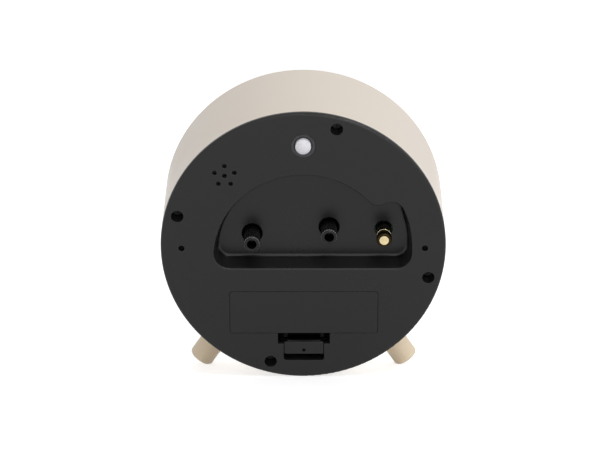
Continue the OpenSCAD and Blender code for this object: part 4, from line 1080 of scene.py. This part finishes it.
class ALARMCLOCK_OT_stage(bpy.types.Operator):
    """Lay the white floor, hang the soft lamps and set up the camera"""

    bl_idname = "alarmclock.stage"
    bl_label = "Studio"

    def execute(self, context):
        scene = context.scene
        scene.view_settings.view_transform = "Standard"
        self.floor(scene)
        self.world(scene)
        for lamp in LAMPS:
            self.lamp(scene, *lamp)
        self.camera(scene)
        return {"FINISHED"}

    def floor(self, scene):
        bm = bmesh.new()
        bmesh.ops.create_circle(bm, cap_ends=True, segments=96, radius=FLOOR_RADIUS)
        mesh = bpy.data.meshes.new("floor")
        bm.to_mesh(mesh)
        bm.free()
        floor = bpy.data.objects.new("floor", mesh)
        scene.collection.objects.link(floor)
        material, tree, shader, place = start_material(
            "floor_white_paper", Roughness=0.7, Specular_IOR_Level=0.2, Emission_Color=(1, 1, 1, 1)
        )
        paper = effect(tree, printed_card, {"Vector": place, "Fibre": 900.0})
        tree.links.new(scaled_colour(tree, [FLOOR_GREY] * 3, paper["Tone"]), shader.inputs["Base Color"])
        glow = calculate(tree, "MULTIPLY", self.seen_directly(tree), FLOOR_GLOW)
        tree.links.new(glow, shader.inputs["Emission Strength"])
        mesh.materials.append(material)

    def seen_directly(self, tree):
        """One where the camera, a mirror or clear plastic looks at the surface."""
        path = add_node(tree, "ShaderNodeLightPath").outputs
        camera_or_mirror = calculate(tree, "MAXIMUM", path["Is Camera Ray"], path["Is Glossy Ray"])
        return calculate(tree, "MAXIMUM", camera_or_mirror, path["Is Transmission Ray"])

    def world(self, scene):
        """White air where it is seen, and plain dimmer light elsewhere."""
        world = bpy.data.worlds.new("studio_air")
        world.use_nodes = True
        tree = world.node_tree
        background = tree.nodes["Background"]
        background.inputs["Color"].default_value = (1, 1, 1, 1)
        strength = calculate(tree, "MULTIPLY_ADD", self.seen_directly(tree), 1 - AIR, AIR)
        tree.links.new(strength, background.inputs["Strength"])
        scene.world = world

    def lamp(self, scene, name, place, size, power, in_reflections):
        light = bpy.data.lights.new(name, "AREA")
        light.shape = "DISK"
        light.size = size
        light.energy = power
        lamp = bpy.data.objects.new(name, light)
        lamp.location = place
        lamp.rotation_euler = (LAMP_TARGET - Vector(place)).to_track_quat("-Z", "Y").to_euler()
        lamp.visible_glossy = in_reflections
        scene.collection.objects.link(lamp)

    def camera(self, scene):
        data = bpy.data.cameras.new("camera")
        data.lens = CAMERA_LENS
        data.sensor_width = 36
        data.clip_start = 0.01
        camera = bpy.data.objects.new("camera", data)
        camera.location = CAMERA_PLACE
        camera.rotation_euler = [math.radians(angle) for angle in CAMERA_TURN]
        scene.collection.objects.link(camera)
        scene.camera = camera


STEPS = (
    ALARMCLOCK_OT_housing,
    ALARMCLOCK_OT_feet,
    ALARMCLOCK_OT_knobs,
    ALARMCLOCK_OT_alarm_pin,
    ALARMCLOCK_OT_light_button,
    ALARMCLOCK_OT_dial,
    ALARMCLOCK_OT_hands,
    ALARMCLOCK_OT_works,
    ALARMCLOCK_OT_electrics,
    ALARMCLOCK_OT_battery,
    ALARMCLOCK_OT_fastenings,
    ALARMCLOCK_OT_stage,
)


class ALARMCLOCK_PT_steps(bpy.types.Panel):
    """Colours, sizes and steps of the clock's finishes"""

    bl_idname = "ALARMCLOCK_PT_steps"
    bl_label = "Alarm Clock"
    bl_space_type = "VIEW_3D"
    bl_region_type = "UI"
    bl_category = "Alarm Clock"

    def draw(self, context):
        layout = self.layout
        layout.use_property_split = True
        for group in (context.scene.clock_colours, context.scene.clock_sizes):
            box = layout.box()
            for name in group.__annotations__:
                box.prop(group, name)
        column = layout.column(align=True)
        for step in STEPS:
            column.operator(step.bl_idname)


CLASSES = (ClockColours, ClockSizes, *STEPS, ALARMCLOCK_PT_steps)


def register():
    for cls in CLASSES:
        bpy.utils.register_class(cls)
    bpy.types.Scene.clock_colours = PointerProperty(type=ClockColours)
    bpy.types.Scene.clock_sizes = PointerProperty(type=ClockSizes)


def unregister():
    del bpy.types.Scene.clock_sizes
    del bpy.types.Scene.clock_colours
    for cls in reversed(CLASSES):
        bpy.utils.unregister_class(cls)


def main():
    register()
    for step in STEPS:
        getattr(bpy.ops.alarmclock, step.bl_idname.split(".")[1])()


if __name__ == "__main__":
    main()
